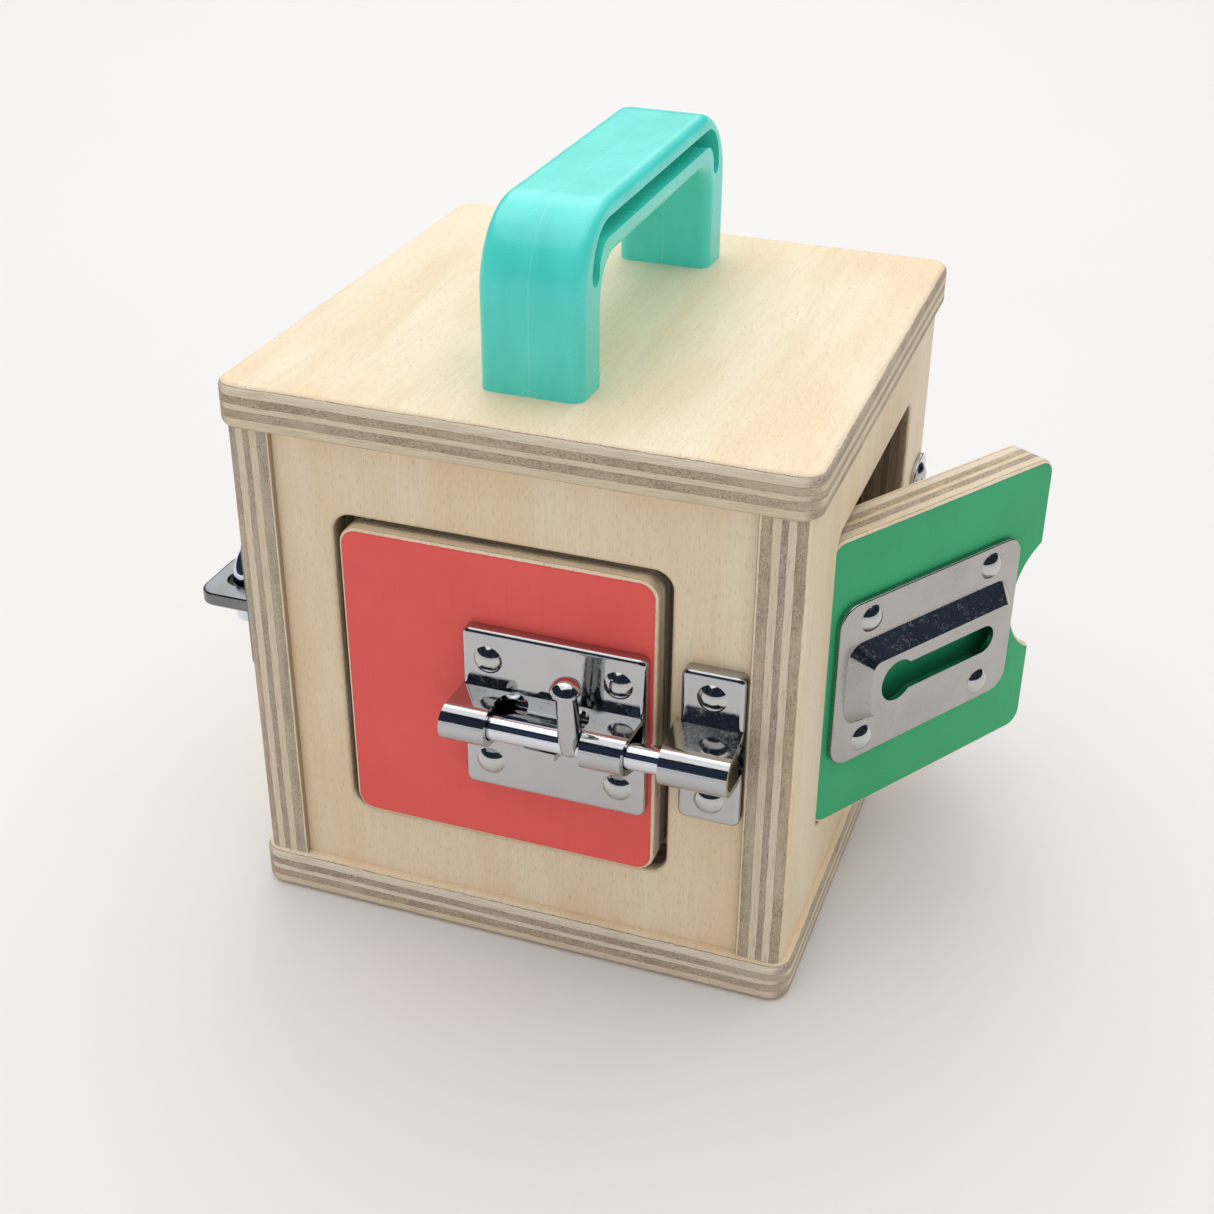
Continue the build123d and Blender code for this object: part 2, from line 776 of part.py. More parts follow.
with BuildPart() as chain_anchor_plate:
    add(
        flat_plate(
            anchor_seat,
            anchor_width,
            anchor_height,
            anchor_thickness,
            anchor_corner_radius,
            anchor_edge_radius,
        )
    )
    with BuildLine(placed(anchor_seat, (0, 0, 0), (0, 0, 1), (-1, 0, 0))) as eye_route:
        Line((0, -eye_bend_radius), (chain_level, -eye_bend_radius))
        CenterArc((chain_level, 0), eye_bend_radius, -90, 180)
        Line((chain_level, eye_bend_radius), (0, eye_bend_radius))
    with BuildSketch(placed(anchor_seat, (0, -eye_bend_radius, 0))):
        Circle(eye_wire_radius)
    sweep(path=eye_route.wire())
    add(
        bores(anchor_seat.offset(anchor_thickness), anchor_screw_spots, screw_radius, anchor_thickness),
        mode=Mode.SUBTRACT,
    )

with BuildPart() as chain_anchor_screws:
    add(dome_screws(anchor_seat.offset(anchor_thickness), anchor_screw_spots, anchor_thickness + screw_bite))

with BuildPart() as chain_links_upper:
    add(chain_run(0, upper_link_count))

with BuildPart() as chain_links_lower:
    add(chain_run(upper_link_count, lower_link_count))

with BuildPart() as chain_end_button:
    ring_top = first_link_top - (upper_link_count + lower_link_count) * link_pitch
    ring_centre = ring_top - link_bend_radius
    neck_end = ring_centre - link_bend_radius - button_neck_length
    with BuildSketch(upright(anchor_seat, (0, neck_end - button_thickness, chain_level))):
        Circle(button_radius)
    extrude(amount=button_thickness)
    fillet(chain_end_button.edges().filter_by(GeomType.CIRCLE), radius=button_edge_radius)
    with BuildSketch(upright(anchor_seat, (0, neck_end, chain_level))):
        Circle(button_neck_radius)
    extrude(amount=button_neck_length + link_wire_radius)
    with Locations(placed(anchor_seat, (0, ring_centre, chain_level), (0, 0, 1), (-1, 0, 0))):
        Torus(link_bend_radius, link_wire_radius)


# Left door and its cabin hook

hook_seat = placed(left_door, (hook_pivot_place, hook_rise, door_face))
hook_plate_shift = hook_plate_overhang - hook_plate_width / 2
hook_plate_seat = placed(hook_seat, (hook_plate_shift, 0, 0))
hook_screw_spots = pair(hook_screw_spread, shift=-hook_screw_place - hook_plate_shift)
ring_underside = hook_standoff - hook_ring_thickness / 2
hook_head_level = hook_standoff + hook_ring_thickness / 2 + hook_pivot_head_gap
hook_pivot_length = hook_head_level + hook_pivot_depth

eye_seat = placed(left_door, (hook_pivot_place + hook_length, hook_rise, frame_face))
lug_top = -lug_below_hook
eye_plate_seat = placed(eye_seat, (-lug_shift, lug_top - lug_thickness / 2, 0))
eye_screw_spots = pair(eye_screw_spread)
pin_level = hook_standoff + door_proud


with BuildPart() as left_side_panel:
    add(wall_panel(left_face, side_panel_width, left_opening_offset, left_door))
    fillet(round_arrises(left_side_panel, left_face), radius=wall_arris_radius)
    add(bores(eye_plate_seat, eye_screw_spots, screw_radius, screw_bite), mode=Mode.SUBTRACT)

with BuildPart() as left_door_pivots:
    add(pivot_pins(left_door))

with BuildPart() as left_door_panel:
    add(door_board(left_door))
    add(bores(hook_plate_seat, hook_screw_spots, screw_radius, screw_bite), mode=Mode.SUBTRACT)
    add(bores(hook_seat, [(0, 0)], hook_pivot_radius, hook_pivot_depth), mode=Mode.SUBTRACT)

with BuildPart() as hook_pivot_plate:
    add(
        flat_plate(
            hook_plate_seat,
            hook_plate_width,
            hook_plate_height,
            hook_plate_thickness,
            hook_plate_corner_radius,
            plate_edge_radius / 2,
        )
    )
    with BuildSketch(hook_seat):
        Circle(hook_boss_radius)
    extrude(amount=hook_plate_thickness + hook_boss_height)
    add(
        bores(hook_seat.offset(ring_underside), [(0, 0)], hook_pivot_radius, ring_underside),
        mode=Mode.SUBTRACT,
    )
    add(
        bores(
            hook_plate_seat.offset(hook_plate_thickness), hook_screw_spots, screw_radius, hook_plate_thickness
        ),
        mode=Mode.SUBTRACT,
    )

with BuildPart() as hook_plate_screws:
    add(
        dome_screws(
            hook_plate_seat.offset(hook_plate_thickness), hook_screw_spots, hook_plate_thickness + screw_bite
        )
    )

with BuildPart() as hook_pivot_pin:
    add(
        dome_screws(
            hook_seat.offset(hook_head_level),
            [(0, 0)],
            hook_pivot_length,
            hook_pivot_radius,
            hook_pivot_head_radius,
            hook_pivot_head_height,
        )
    )

with BuildPart() as cabin_hook:
    arm_plane = hook_seat.offset(hook_standoff)
    with BuildLine(arm_plane) as hook_route:
        Line((0, 0), (hook_length - hook_bend_radius, 0))
        CenterArc((hook_length - hook_bend_radius, -hook_bend_radius), hook_bend_radius, 90, -90)
        Line((hook_length, -hook_bend_radius), (hook_length, hook_radius - hook_drop))
    with BuildSketch(placed(arm_plane, (0, 0, 0), (0, 0, 1), (1, 0, 0))):
        Circle(hook_radius)
    sweep(path=hook_route.wire())
    with Locations(placed(arm_plane, (hook_length, hook_radius - hook_drop, 0))):
        Sphere(hook_radius)
    with BuildSketch(arm_plane.offset(-hook_ring_thickness / 2)):
        Circle(hook_ring_radius)
    extrude(amount=hook_ring_thickness)
    with BuildSketch(arm_plane):
        Circle(hook_pivot_radius + running_clearance)
    extrude(amount=hook_ring_thickness, both=True, mode=Mode.SUBTRACT)

with BuildPart() as hook_eye_bracket:
    add(
        flat_plate(
            eye_plate_seat,
            eye_plate_width,
            eye_plate_height,
            eye_plate_thickness,
            eye_plate_corner_radius,
            plate_edge_radius / 2,
        )
    )
    lug_plane = placed(eye_plate_seat, (0, -lug_thickness / 2, 0), (1, 0, 0), (0, -1, 0))
    with BuildPart(mode=Mode.PRIVATE) as lug:
        with BuildSketch(lug_plane):
            Rectangle(eye_plate_width, lug_reach, align=(Align.CENTER, Align.MIN))
        extrude(amount=-lug_thickness)
        corners = lug.edges().filter_by(Axis.Z).group_by(Axis(eye_plate_seat.origin, eye_plate_seat.z_dir))[-1]
        fillet(corners, radius=lug_corner_radius)
        fillet(lug.faces().filter_by(Axis.Z).edges(), radius=lug_edge_radius)
    add(lug.part)
    with BuildSketch(placed(eye_seat, (0, lug_top, pin_level), (1, 0, 0), (0, 1, 0))):
        Circle(lug_hole_radius)
    extrude(amount=-lug_thickness, mode=Mode.SUBTRACT)
    add(
        bores(eye_plate_seat.offset(eye_plate_thickness), eye_screw_spots, screw_radius, eye_plate_thickness),
        mode=Mode.SUBTRACT,
    )

with BuildPart() as hook_eye_screws:
    add(
        dome_screws(
            eye_plate_seat.offset(eye_plate_thickness), eye_screw_spots, eye_plate_thickness + screw_bite
        )
    )


# Back door and its hasp

knuckle_level = door_face + hasp_knuckle_radius
knuckle_length = hasp_height / 3
swing_underside = door_face + hasp_lift
hasp_screw_spots = pair(hasp_screw_spread)
hasp_screw_seat = placed(back_door, (hasp_fixed_start + hasp_screw_place, 0, door_face))
staple_place = free_edge + free_gap + staple_inset
staple_seat = placed(back_door, (staple_place, 0, frame_face))
staple_screw_spots = pair(staple_screw_spread)
swing_end = staple_place + hasp_slot_length / 2 + hasp_end_margin
staple_bore_depth = staple_flange_thickness + 2 * staple_flange_clearance
ring_level = swing_underside + hasp_thickness - frame_face + staple_lift + staple_wire_radius + staple_bend_radius


def knuckle(low, high, radius):
    """A length of the hasp's hinge barrel, or of a bore in it."""
    with BuildPart() as barrel:
        with BuildSketch(upright(back_door, (hasp_pin_place, low, knuckle_level))):
            Circle(radius)
        extrude(amount=high - low)
    return barrel.part


def leaf_strip(start, end, height, level, thickness=hasp_thickness):
    """A rectangular stretch of a hasp leaf."""
    with BuildPart() as strip:
        with BuildSketch(placed(back_door, (start, 0, level))):
            Rectangle(end - start, height, align=(Align.MIN, Align.CENTER))
        extrude(amount=thickness)
    return strip.part


with BuildPart() as back_panel:
    add(wall_panel(back_face, front_panel_width, back_opening_offset, back_door))
    add(bores(staple_seat, staple_screw_spots, screw_radius, screw_bite), mode=Mode.SUBTRACT)
    add(
        bores(staple_seat, [(0, 0)], staple_flange_radius + staple_flange_clearance, staple_bore_depth),
        mode=Mode.SUBTRACT,
    )

with BuildPart() as back_door_pivots:
    add(pivot_pins(back_door))

with BuildPart() as back_door_panel:
    add(door_board(back_door))
    add(bores(hasp_screw_seat, hasp_screw_spots, screw_radius, screw_bite), mode=Mode.SUBTRACT)

with BuildPart() as hasp_fixed_leaf:
    gap_half = knuckle_length / 2 + hasp_knuckle_gap
    add(leaf_strip(hasp_fixed_start, hasp_pin_place, hasp_height, door_face))
    free_corners = hasp_fixed_leaf.edges().filter_by(Axis.Y).sort_by(Axis.X)[-2:]
    fillet(free_corners, radius=hasp_corner_radius)
    add(knuckle(-hasp_height / 2, hasp_height / 2, hasp_knuckle_radius))
    add(
        leaf_strip(
            hasp_pin_place - hasp_knuckle_radius - hasp_knuckle_gap,
            hasp_pin_place + hasp_knuckle_radius + hasp_knuckle_gap,
            2 * gap_half,
            door_face,
            2 * hasp_knuckle_radius,
        ),
        mode=Mode.SUBTRACT,
    )
    add(knuckle(-hasp_height, hasp_height, hasp_pin_radius), mode=Mode.SUBTRACT)
    add(
        bores(hasp_screw_seat.offset(hasp_thickness), hasp_screw_spots, screw_radius, hasp_thickness),
        mode=Mode.SUBTRACT,
    )

with BuildPart() as hasp_leaf_screws:
    add(dome_screws(hasp_screw_seat.offset(hasp_thickness), hasp_screw_spots, hasp_thickness + screw_bite))

with BuildPart() as hasp_hinge_pin:
    add(knuckle(-hasp_height / 2, hasp_height / 2, hasp_pin_radius))
    for side in (1, -1):
        with BuildSketch(upright(back_door, (hasp_pin_place, side * hasp_height / 2, knuckle_level))):
            Circle(hasp_pin_head_radius)
        extrude(amount=side * hasp_pin_head_height)

with BuildPart() as hasp_swing_leaf:
    add(leaf_strip(hasp_pin_place, swing_end, hasp_height, swing_underside))
    swing_corners = hasp_swing_leaf.edges().filter_by(Axis.Y).sort_by(Axis.X)[:2]
    fillet(swing_corners, radius=hasp_corner_radius)
    add(
        leaf_strip(
            hasp_pin_place - hasp_knuckle_radius,
            hasp_pin_place + hasp_knuckle_radius + hasp_knuckle_gap,
            hasp_height + overrun,
            door_face,
            2 * hasp_knuckle_radius,
        ),
        mode=Mode.SUBTRACT,
    )
    add(
        leaf_strip(
            hasp_pin_place,
            hasp_pin_place + hasp_knuckle_radius + hasp_knuckle_gap,
            knuckle_length,
            swing_underside,
        )
    )
    add(knuckle(-knuckle_length / 2, knuckle_length / 2, hasp_knuckle_radius))
    add(knuckle(-knuckle_length, knuckle_length, hasp_pin_radius + running_clearance), mode=Mode.SUBTRACT)
    with BuildSketch(placed(back_door, (staple_place, 0, swing_underside))):
        SlotOverall(hasp_slot_length, hasp_slot_width)
    extrude(amount=hasp_thickness, mode=Mode.SUBTRACT)

with BuildPart() as staple_plate:
    add(
        flat_plate(
            staple_seat,
            staple_plate_width,
            staple_plate_height,
            staple_plate_thickness,
            staple_plate_corner_radius,
            plate_edge_radius / 2,
        )
    )
    add(
        bores(
            staple_seat.offset(staple_plate_thickness), staple_screw_spots, screw_radius, staple_plate_thickness
        ),
        mode=Mode.SUBTRACT,
    )
    add(
        bores(
            staple_seat.offset(staple_plate_thickness),
            [(0, 0)],
            staple_stem_radius + running_clearance,
            staple_plate_thickness,
        ),
        mode=Mode.SUBTRACT,
    )

with BuildPart() as staple_plate_screws:
    add(
        dome_screws(
            staple_seat.offset(staple_plate_thickness),
            staple_screw_spots,
            staple_plate_thickness + screw_bite,
        )
    )

with BuildPart() as swivel_staple:
    flange_level = -staple_flange_clearance - staple_flange_thickness
    with BuildSketch(staple_seat.offset(flange_level)):
        Circle(staple_flange_radius)
    extrude(amount=staple_flange_thickness)
    with BuildSketch(staple_seat.offset(flange_level)):
        Circle(staple_stem_radius)
    extrude(amount=ring_level - staple_bend_radius - flange_level)
    with Locations(placed(staple_seat, (0, 0, ring_level), (1, 0, 0), (0, 1, 0))):
        Torus(staple_bend_radius, staple_wire_radius)


# Carry handle

handle_plane = Plane(origin=(0, 0, box_height), x_dir=(0, 1, 0), z_dir=(1, 0, 0))
groove_half_span = handle_leg_centre + (handle_leg - handle_groove_width) / 2 - groove_wall
groove_height = handle_rise - groove_roof - handle_groove_width / 2


def bow(half_span, rise, corner_radius):
    """The outline of an arch on the lid, square at its feet."""
    with BuildSketch(handle_plane) as arch:
        Rectangle(2 * half_span, rise, align=(Align.CENTER, Align.MIN))
        fillet(arch.vertices().group_by(Axis.Y)[-1], radius=corner_radius)
    return arch.sketch


with BuildPart() as carry_handle:
    outer_bow = bow(handle_span / 2, handle_rise, handle_outer_radius)
    inner_bow = bow(handle_span / 2 - handle_leg, handle_rise - handle_grip, handle_inner_radius)
    extrude(outer_bow, amount=handle_width / 2, both=True)
    extrude(inner_bow, amount=handle_width / 2, both=True, mode=Mode.SUBTRACT)
    side_edges = carry_handle.faces().filter_by(Axis.X).edges()
    foot_edges = carry_handle.faces().filter_by(Axis.Z).group_by(Axis.Z)[0].edges()
    fillet([edge for edge in side_edges if edge not in foot_edges], radius=handle_edge_radius)
    for side in (1, -1):
        with BuildSketch(handle_plane.offset(side * handle_width / 2)):
            with BuildLine():
                FilletPolyline(
                    (-groove_half_span, handle_groove_foot),
                    (-groove_half_span, groove_height),
                    (groove_half_span, groove_height),
                    (groove_half_span, handle_groove_foot),
                    radius=handle_groove_bend,
                )
            trace(line_width=handle_groove_width)
            with Locations((-groove_half_span, handle_groove_foot), (groove_half_span, handle_groove_foot)):
                Circle(handle_groove_width / 2)
        extrude(amount=-side * handle_groove_depth, mode=Mode.SUBTRACT)
    add(
        bores(handle_screw_seat, handle_screw_spots, handle_screw_radius, handle_screw_length),
        mode=Mode.SUBTRACT,
    )

with BuildPart() as handle_screws:
    add(
        dome_screws(
            handle_screw_seat,
            handle_screw_spots,
            handle_screw_length,
            handle_screw_radius,
            handle_screw_head_radius,
            handle_screw_head_height,
        )
    )


# Every piece, one file each

pieces = {
    "base_board": base_board,
    "lid_board": lid_board,
    "left_side_panel": left_side_panel,
    "right_side_panel": right_side_panel,
    "front_panel": front_panel,
    "back_panel": back_panel,
    "base_dowels": base_dowels,
    "lid_dowels": lid_dowels,
    "corner_dowels": corner_dowels,
    "carry_handle": carry_handle,
    "handle_screws": handle_screws,
    "front_door_panel": front_door_panel,
    "front_door_pivots": front_door_pivots,
    "bolt_housing": bolt_housing,
    "bolt_housing_screws": bolt_housing_screws,
    "bolt_rod": bolt_rod,
    "bolt_knob": bolt_knob,
    "bolt_keeper": bolt_keeper,
    "bolt_keeper_screws": bolt_keeper_screws,
    "right_door_panel": right_door_panel,
    "right_door_pivots": right_door_pivots,
    "chain_slot_plate": chain_slot_plate,
    "chain_slot_plate_screws": chain_slot_plate_screws,
    "chain_anchor_plate": chain_anchor_plate,
    "chain_anchor_screws": chain_anchor_screws,
    "chain_links_upper": chain_links_upper,
    "chain_links_lower": chain_links_lower,
    "chain_end_button": chain_end_button,
    "left_door_panel": left_door_panel,
    "left_door_pivots": left_door_pivots,
    "hook_pivot_plate": hook_pivot_plate,
    "hook_plate_screws": hook_plate_screws,
    "hook_pivot_pin": hook_pivot_pin,
    "cabin_hook": cabin_hook,
    "hook_eye_bracket": hook_eye_bracket,
    "hook_eye_screws": hook_eye_screws,
    "back_door_panel": back_door_panel,
    "back_door_pivots": back_door_pivots,
    "hasp_fixed_leaf": hasp_fixed_leaf,
    "hasp_leaf_screws": hasp_leaf_screws,
    "hasp_hinge_pin": hasp_hinge_pin,
    "hasp_swing_leaf": hasp_swing_leaf,
    "staple_plate": staple_plate,
    "staple_plate_screws": staple_plate_screws,
    "swivel_staple": swivel_staple,
}

os.makedirs("parts", exist_ok=True)
for name, piece in pieces.items():
    piece.part.label = name
    export_step(piece.part, f"parts/{name}.step")
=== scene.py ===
# %% [markdown]
# # Dressing a wooden latch box
# The box is a plywood cube with a moulded carry handle and four small doors, each shut by another
# metal latch. Every shape is already a solid of its own, so this lesson gives the solids their
# finishes: birch plywood whose layers show on every edge, paint rolled onto the doors' faces,
# moulded plastic, chrome plate and satin steel. Colour and relief come from the place of a point
# on its board, so they fit the solids from any side and move with the doors.

# %% Load the solids as the fixed frame
import json
import math

import bpy
from mathutils import Matrix, Vector


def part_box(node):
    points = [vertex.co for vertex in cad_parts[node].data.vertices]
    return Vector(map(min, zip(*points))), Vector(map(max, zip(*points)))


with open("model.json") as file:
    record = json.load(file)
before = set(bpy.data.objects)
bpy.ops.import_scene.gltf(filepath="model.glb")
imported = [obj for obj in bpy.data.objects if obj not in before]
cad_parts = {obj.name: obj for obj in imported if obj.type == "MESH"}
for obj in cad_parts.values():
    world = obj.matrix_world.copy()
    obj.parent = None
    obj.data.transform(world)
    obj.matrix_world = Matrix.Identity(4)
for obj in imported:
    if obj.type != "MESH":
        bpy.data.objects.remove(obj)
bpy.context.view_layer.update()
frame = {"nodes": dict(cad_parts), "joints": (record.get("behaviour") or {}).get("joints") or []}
joints = {joint["name"]: joint for joint in frame["joints"]}

# %% [markdown]
# ## The camera
# The photograph looks down on the front from its right, so three faces show. Its place, turn and
# lens were worked out from the box's corners. A Blender camera looks along its own -Z, so the turn
# is a matrix whose columns are the picture's right, the picture's up and the way back.

# %% Set the camera
PICTURE = 1214
FOCAL_PIXELS = 1798.06
PICTURE_CENTRE = (626.4, 608.9)
SENSOR_WIDTH = 36
CAMERA_PLACE = (0.149753, -0.422148, 0.324154)
view_right = Vector((0.94389, 0.33005, 0.01136))
view_up = Vector((-0.17578, 0.47298, 0.86336))
view_back = view_right.cross(view_up)

lens = bpy.data.cameras.new("camera")
lens.sensor_width = SENSOR_WIDTH
lens.lens = FOCAL_PIXELS / PICTURE * SENSOR_WIDTH
lens.shift_x = 0.5 - PICTURE_CENTRE[0] / PICTURE
lens.shift_y = PICTURE_CENTRE[1] / PICTURE - 0.5
lens.clip_start = 0.02
camera = bpy.data.objects.new("camera", lens)
turn = Matrix((view_right, view_up, view_back)).transposed().to_4x4()
camera.matrix_world = Matrix.Translation(CAMERA_PLACE) @ turn
bpy.context.collection.objects.link(camera)
bpy.context.scene.camera = camera
print("lens", round(lens.lens, 2), "mm")

# %% [markdown]
# ## Joining shader nodes
# Every finish is a small net of nodes. One helper adds a node and feeds its sockets, either from
# another node or with a plain value, and a few short ones cover the sums that come up all the time.

# %% Helpers that add nodes


def colour(red, green, blue):
    """A colour read from a swatch, 0 to 255, as Blender's linear colour."""
    parts = [value / 255 for value in (red, green, blue)]
    return (*[p / 12.92 if p <= 0.04045 else ((p + 0.055) / 1.055) ** 2.4 for p in parts], 1)


def feed(tree, sockets, values):
    """Feeds sockets by name or number, each from another node or with a plain value."""
    for label, value in values.items():
        if isinstance(value, bpy.types.NodeSocket):
            tree.links.new(value, sockets[label])
        else:
            sockets[label].default_value = value


def node(tree, kind, inputs=None, **fields):
    """Adds a node, sets its fields, and feeds its sockets."""
    made = tree.nodes.new(kind)
    for name, value in fields.items():
        setattr(made, name, value)
    feed(tree, made.inputs, inputs or {})
    return made


def maths(tree, operation, *values):
    """A sum on numbers."""
    return node(tree, "ShaderNodeMath", dict(enumerate(values)), operation=operation).outputs[0]


def plus(tree, first, second):
    """Two numbers added."""
    return maths(tree, "ADD", first, second)


def minus(tree, first, second):
    """One number less another."""
    return maths(tree, "SUBTRACT", first, second)


def times(tree, first, second):
    """Two numbers multiplied."""
    return maths(tree, "MULTIPLY", first, second)


# %% [markdown]
# A place or a direction is a vector, and most of the sums on it come in a vector form. It can be
# taken apart into its three numbers and put together again.

# %% Helpers for vectors
MILLIMETRES = 1000


def vectors(tree, operation, *values):
    """A sum on vectors."""
    made = node(tree, "ShaderNodeVectorMath", dict(enumerate(values)), operation=operation)
    return made.outputs["Value" if operation in ("DOT_PRODUCT", "LENGTH") else "Vector"]


def parts_of(tree, vector):
    """The three numbers of a vector."""
    return node(tree, "ShaderNodeSeparateXYZ", {0: vector}).outputs


def joined(tree, *parts):
    """A vector from its numbers."""
    return node(tree, "ShaderNodeCombineXYZ", dict(enumerate(parts))).outputs[0]


def stretched(tree, place, stretch):
    """A place drawn out or squeezed along each of its directions."""
    return vectors(tree, "MULTIPLY", place, stretch)


def object_place(tree):
    """A point's place on its solid in metres, which stays the same when the solid moves."""
    return node(tree, "ShaderNodeTexCoord").outputs["Object"]


def in_millimetres(tree, place):
    """A place in metres, turned into millimetres."""
    return stretched(tree, place, (MILLIMETRES, MILLIMETRES, MILLIMETRES))


# %% [markdown]
# Noise is where all the marks come from. A noise whose place is squeezed one way more than another
# has long blobs, which is all that grain, pores and brush marks are. A soft step then picks out
# the blobs, and each layer of colour is laid over the last by such a step.

# %% Helpers for marks and colours


def noise(tree, place, scale, detail=2.0, roughness=0.5, distortion=0.0):
    """Cloudy noise over a place, at so many blobs a unit."""
    inputs = {
        "Vector": place,
        "Scale": scale,
        "Detail": detail,
        "Roughness": roughness,
        "Distortion": distortion,
    }
    return node(tree, "ShaderNodeTexNoise", inputs).outputs[0]


def grain(tree, place, stretch, *character):
    """Noise with its own number of blobs a unit in each direction."""
    return noise(tree, stretched(tree, place, stretch), 1.0, *character)


def rise(tree, value, low, high, bottom=0.0, top=1.0):
    """A soft step from bottom to top as the value goes from low to high."""
    inputs = {0: value, 1: low, 2: high, 3: bottom, 4: top}
    return node(tree, "ShaderNodeMapRange", inputs, interpolation_type="SMOOTHSTEP").outputs[0]


def shift(tree, value, reach):
    """A noise, 0 to 1, as a shift of half the reach either way."""
    return maths(tree, "MULTIPLY_ADD", value, reach, -reach / 2)


def mixed(tree, share, first, second):
    """Two colours mixed by a share."""
    return node(tree, "ShaderNodeMix", {0: share, 6: first, 7: second}, data_type="RGBA").outputs[2]


def layered(tree, tone, *coats):
    """A colour with others laid over it in turn, each given as its share and its colour."""
    for share, coat in coats:
        tone = mixed(tree, share, tone, coat)
    return tone


# %% [markdown]
# A node group is a net with a name and sockets of its own. An effect that many finishes share is
# built once as a group, and each material places it with its own values.

# %% Helpers that build and place a group


def new_group(name, inputs, outputs):
    """An empty node group. Sockets are given as a name and a kind."""
    tree = bpy.data.node_groups.new(name, "ShaderNodeTree")
    for direction, sockets in (("INPUT", inputs), ("OUTPUT", outputs)):
        for label, kind in sockets.items():
            tree.interface.new_socket(name=label, in_out=direction, socket_type="NodeSocket" + kind)
    return tree, tree.nodes.new("NodeGroupInput").outputs, tree.nodes.new("NodeGroupOutput").inputs


def spaced(values):
    """Socket names written as Python names, with each underscore turned into a blank."""
    return {label.replace("_", " "): value for label, value in values.items()}


def put_out(tree, outlets, **results):
    """Feeds the outputs of a group, which is then done."""
    feed(tree, outlets, spaced(results))
    print("group", tree.name, "with", len(tree.nodes), "nodes")


def place_group(tree, name, **inputs):
    """Places a group in a net with its own values."""
    group = bpy.data.node_groups[name]
    return node(tree, "ShaderNodeGroup", spaced(inputs), node_tree=group).outputs


# %% [markdown]
# ## Where a point is on its board
# Wood grain follows the board, not the world. This group turns a point of the solid into a place on
# its board in millimetres: along the grain, across it, and inward from the outer face. It also says
# how far the surface faces each of those ways. It reads object coordinates, which stay with a solid
# when a door swings.

# %% Build the board place group
tree, given, outlets = new_group(
    "Board place",
    {"Start": "Vector", "Grain": "Vector", "Across": "Vector", "Inward": "Vector"},
    {"Place": "Vector", "Facing": "Vector"},
)
read = node(tree, "ShaderNodeTexCoord").outputs
from_start = in_millimetres(tree, vectors(tree, "SUBTRACT", read["Object"], given["Start"]))
ways = [given["Grain"], given["Across"], given["Inward"]]
place = joined(tree, *[vectors(tree, "DOT_PRODUCT", from_start, way) for way in ways])
facing = joined(tree, *[vectors(tree, "DOT_PRODUCT", read["Normal"], way) for way in ways])
put_out(tree, outlets, Place=place, Facing=facing)

# %% [markdown]
# ## Birch veneer
# The outer layer of birch plywood is pale cream, with short fine pores along the grain, broad soft
# clouds where the log was peeled, and now and then a pin knot. Four noises, each drawn out along
# the grain at its own size, and a sparse dot pattern make the veneer without any picture. A board's
# seed moves it to another part of the noise, so no two boards are alike.

# %% Sizes and colours of the veneer's marks
CLOUDS_A_MM = (0.012, 0.045, 0.02)
FLAME_A_MM = (0.03, 0.32, 0.1)
STREAKS_A_MM = (0.06, 1.6, 0.4)
PORES_A_MM = (0.42, 3.4, 1.0)
KNOT_STRETCH, KNOTS_A_MM = (0.7, 1.0, 0.0), 0.045
SEED_STEP = 137.0
FLAME_TONE = colour(226, 201, 168)
STREAK_TONE = colour(208, 178, 142)
PORE_TONE = colour(188, 152, 114)
KNOT_TONE = colour(96, 66, 42)
pore_length, pore_width = (round(1 / blobs, 1) for blobs in PORES_A_MM[:2])
print("pores about", pore_length, "mm long and", pore_width, "mm wide")

# %% Build the birch veneer group
tree, given, outlets = new_group(
    "Birch veneer",
    {"Place": "Vector", "Seed": "Float", "Light": "Color", "Warm": "Color"},
    {"Color": "Color", "Height": "Float"},
)
moved = joined(tree, times(tree, given["Seed"], SEED_STEP), given["Seed"])
place = vectors(tree, "ADD", given["Place"], moved)
clouds = grain(tree, place, CLOUDS_A_MM, 3.0, 0.5, 0.6)
flame = grain(tree, place, FLAME_A_MM, 4.0, 0.55, 1.2)
streaks = grain(tree, place, STREAKS_A_MM, 3.0, 0.6)
pores = rise(tree, grain(tree, place, PORES_A_MM, 2.0, 0.55), 0.56, 0.72)
cells = {"Vector": stretched(tree, place, KNOT_STRETCH), "Scale": KNOTS_A_MM}
dots = node(tree, "ShaderNodeTexVoronoi", cells).outputs
draw = node(tree, "ShaderNodeSeparateColor", {0: dots["Color"]}).outputs[0]
dot = rise(tree, dots["Distance"], 0.010, 0.022, 1.0, 0.0)
knots = times(tree, dot, rise(tree, draw, 0.55, 0.6))
tone = layered(
    tree,
    mixed(tree, rise(tree, clouds, 0.35, 0.65), given["Light"], given["Warm"]),
    (rise(tree, flame, 0.42, 0.75, 0.0, 0.26), FLAME_TONE),
    (rise(tree, streaks, 0.4, 0.8, 0.0, 0.14), STREAK_TONE),
    (times(tree, pores, 0.42), PORE_TONE),
    (times(tree, knots, 0.75), KNOT_TONE),
)
height = minus(tree, minus(tree, streaks, times(tree, pores, 0.8)), knots)
put_out(tree, outlets, Color=tone, Height=height)

# %% [markdown]
# ## Plywood edges
# Seven layers are glued with their grain crossed. On an edge, a layer whose grain runs along it
# shows cream streaks, and a layer whose grain runs into it shows grey, pitted end grain. The two
# swap round each corner. So the group finds which layer a point is in, asks how squarely the
# surface cuts that layer's grain, and mixes long grain and end grain by that. Thin sheets give
# under the press, so their joints wander a little, slowly along the board and in fine bites.

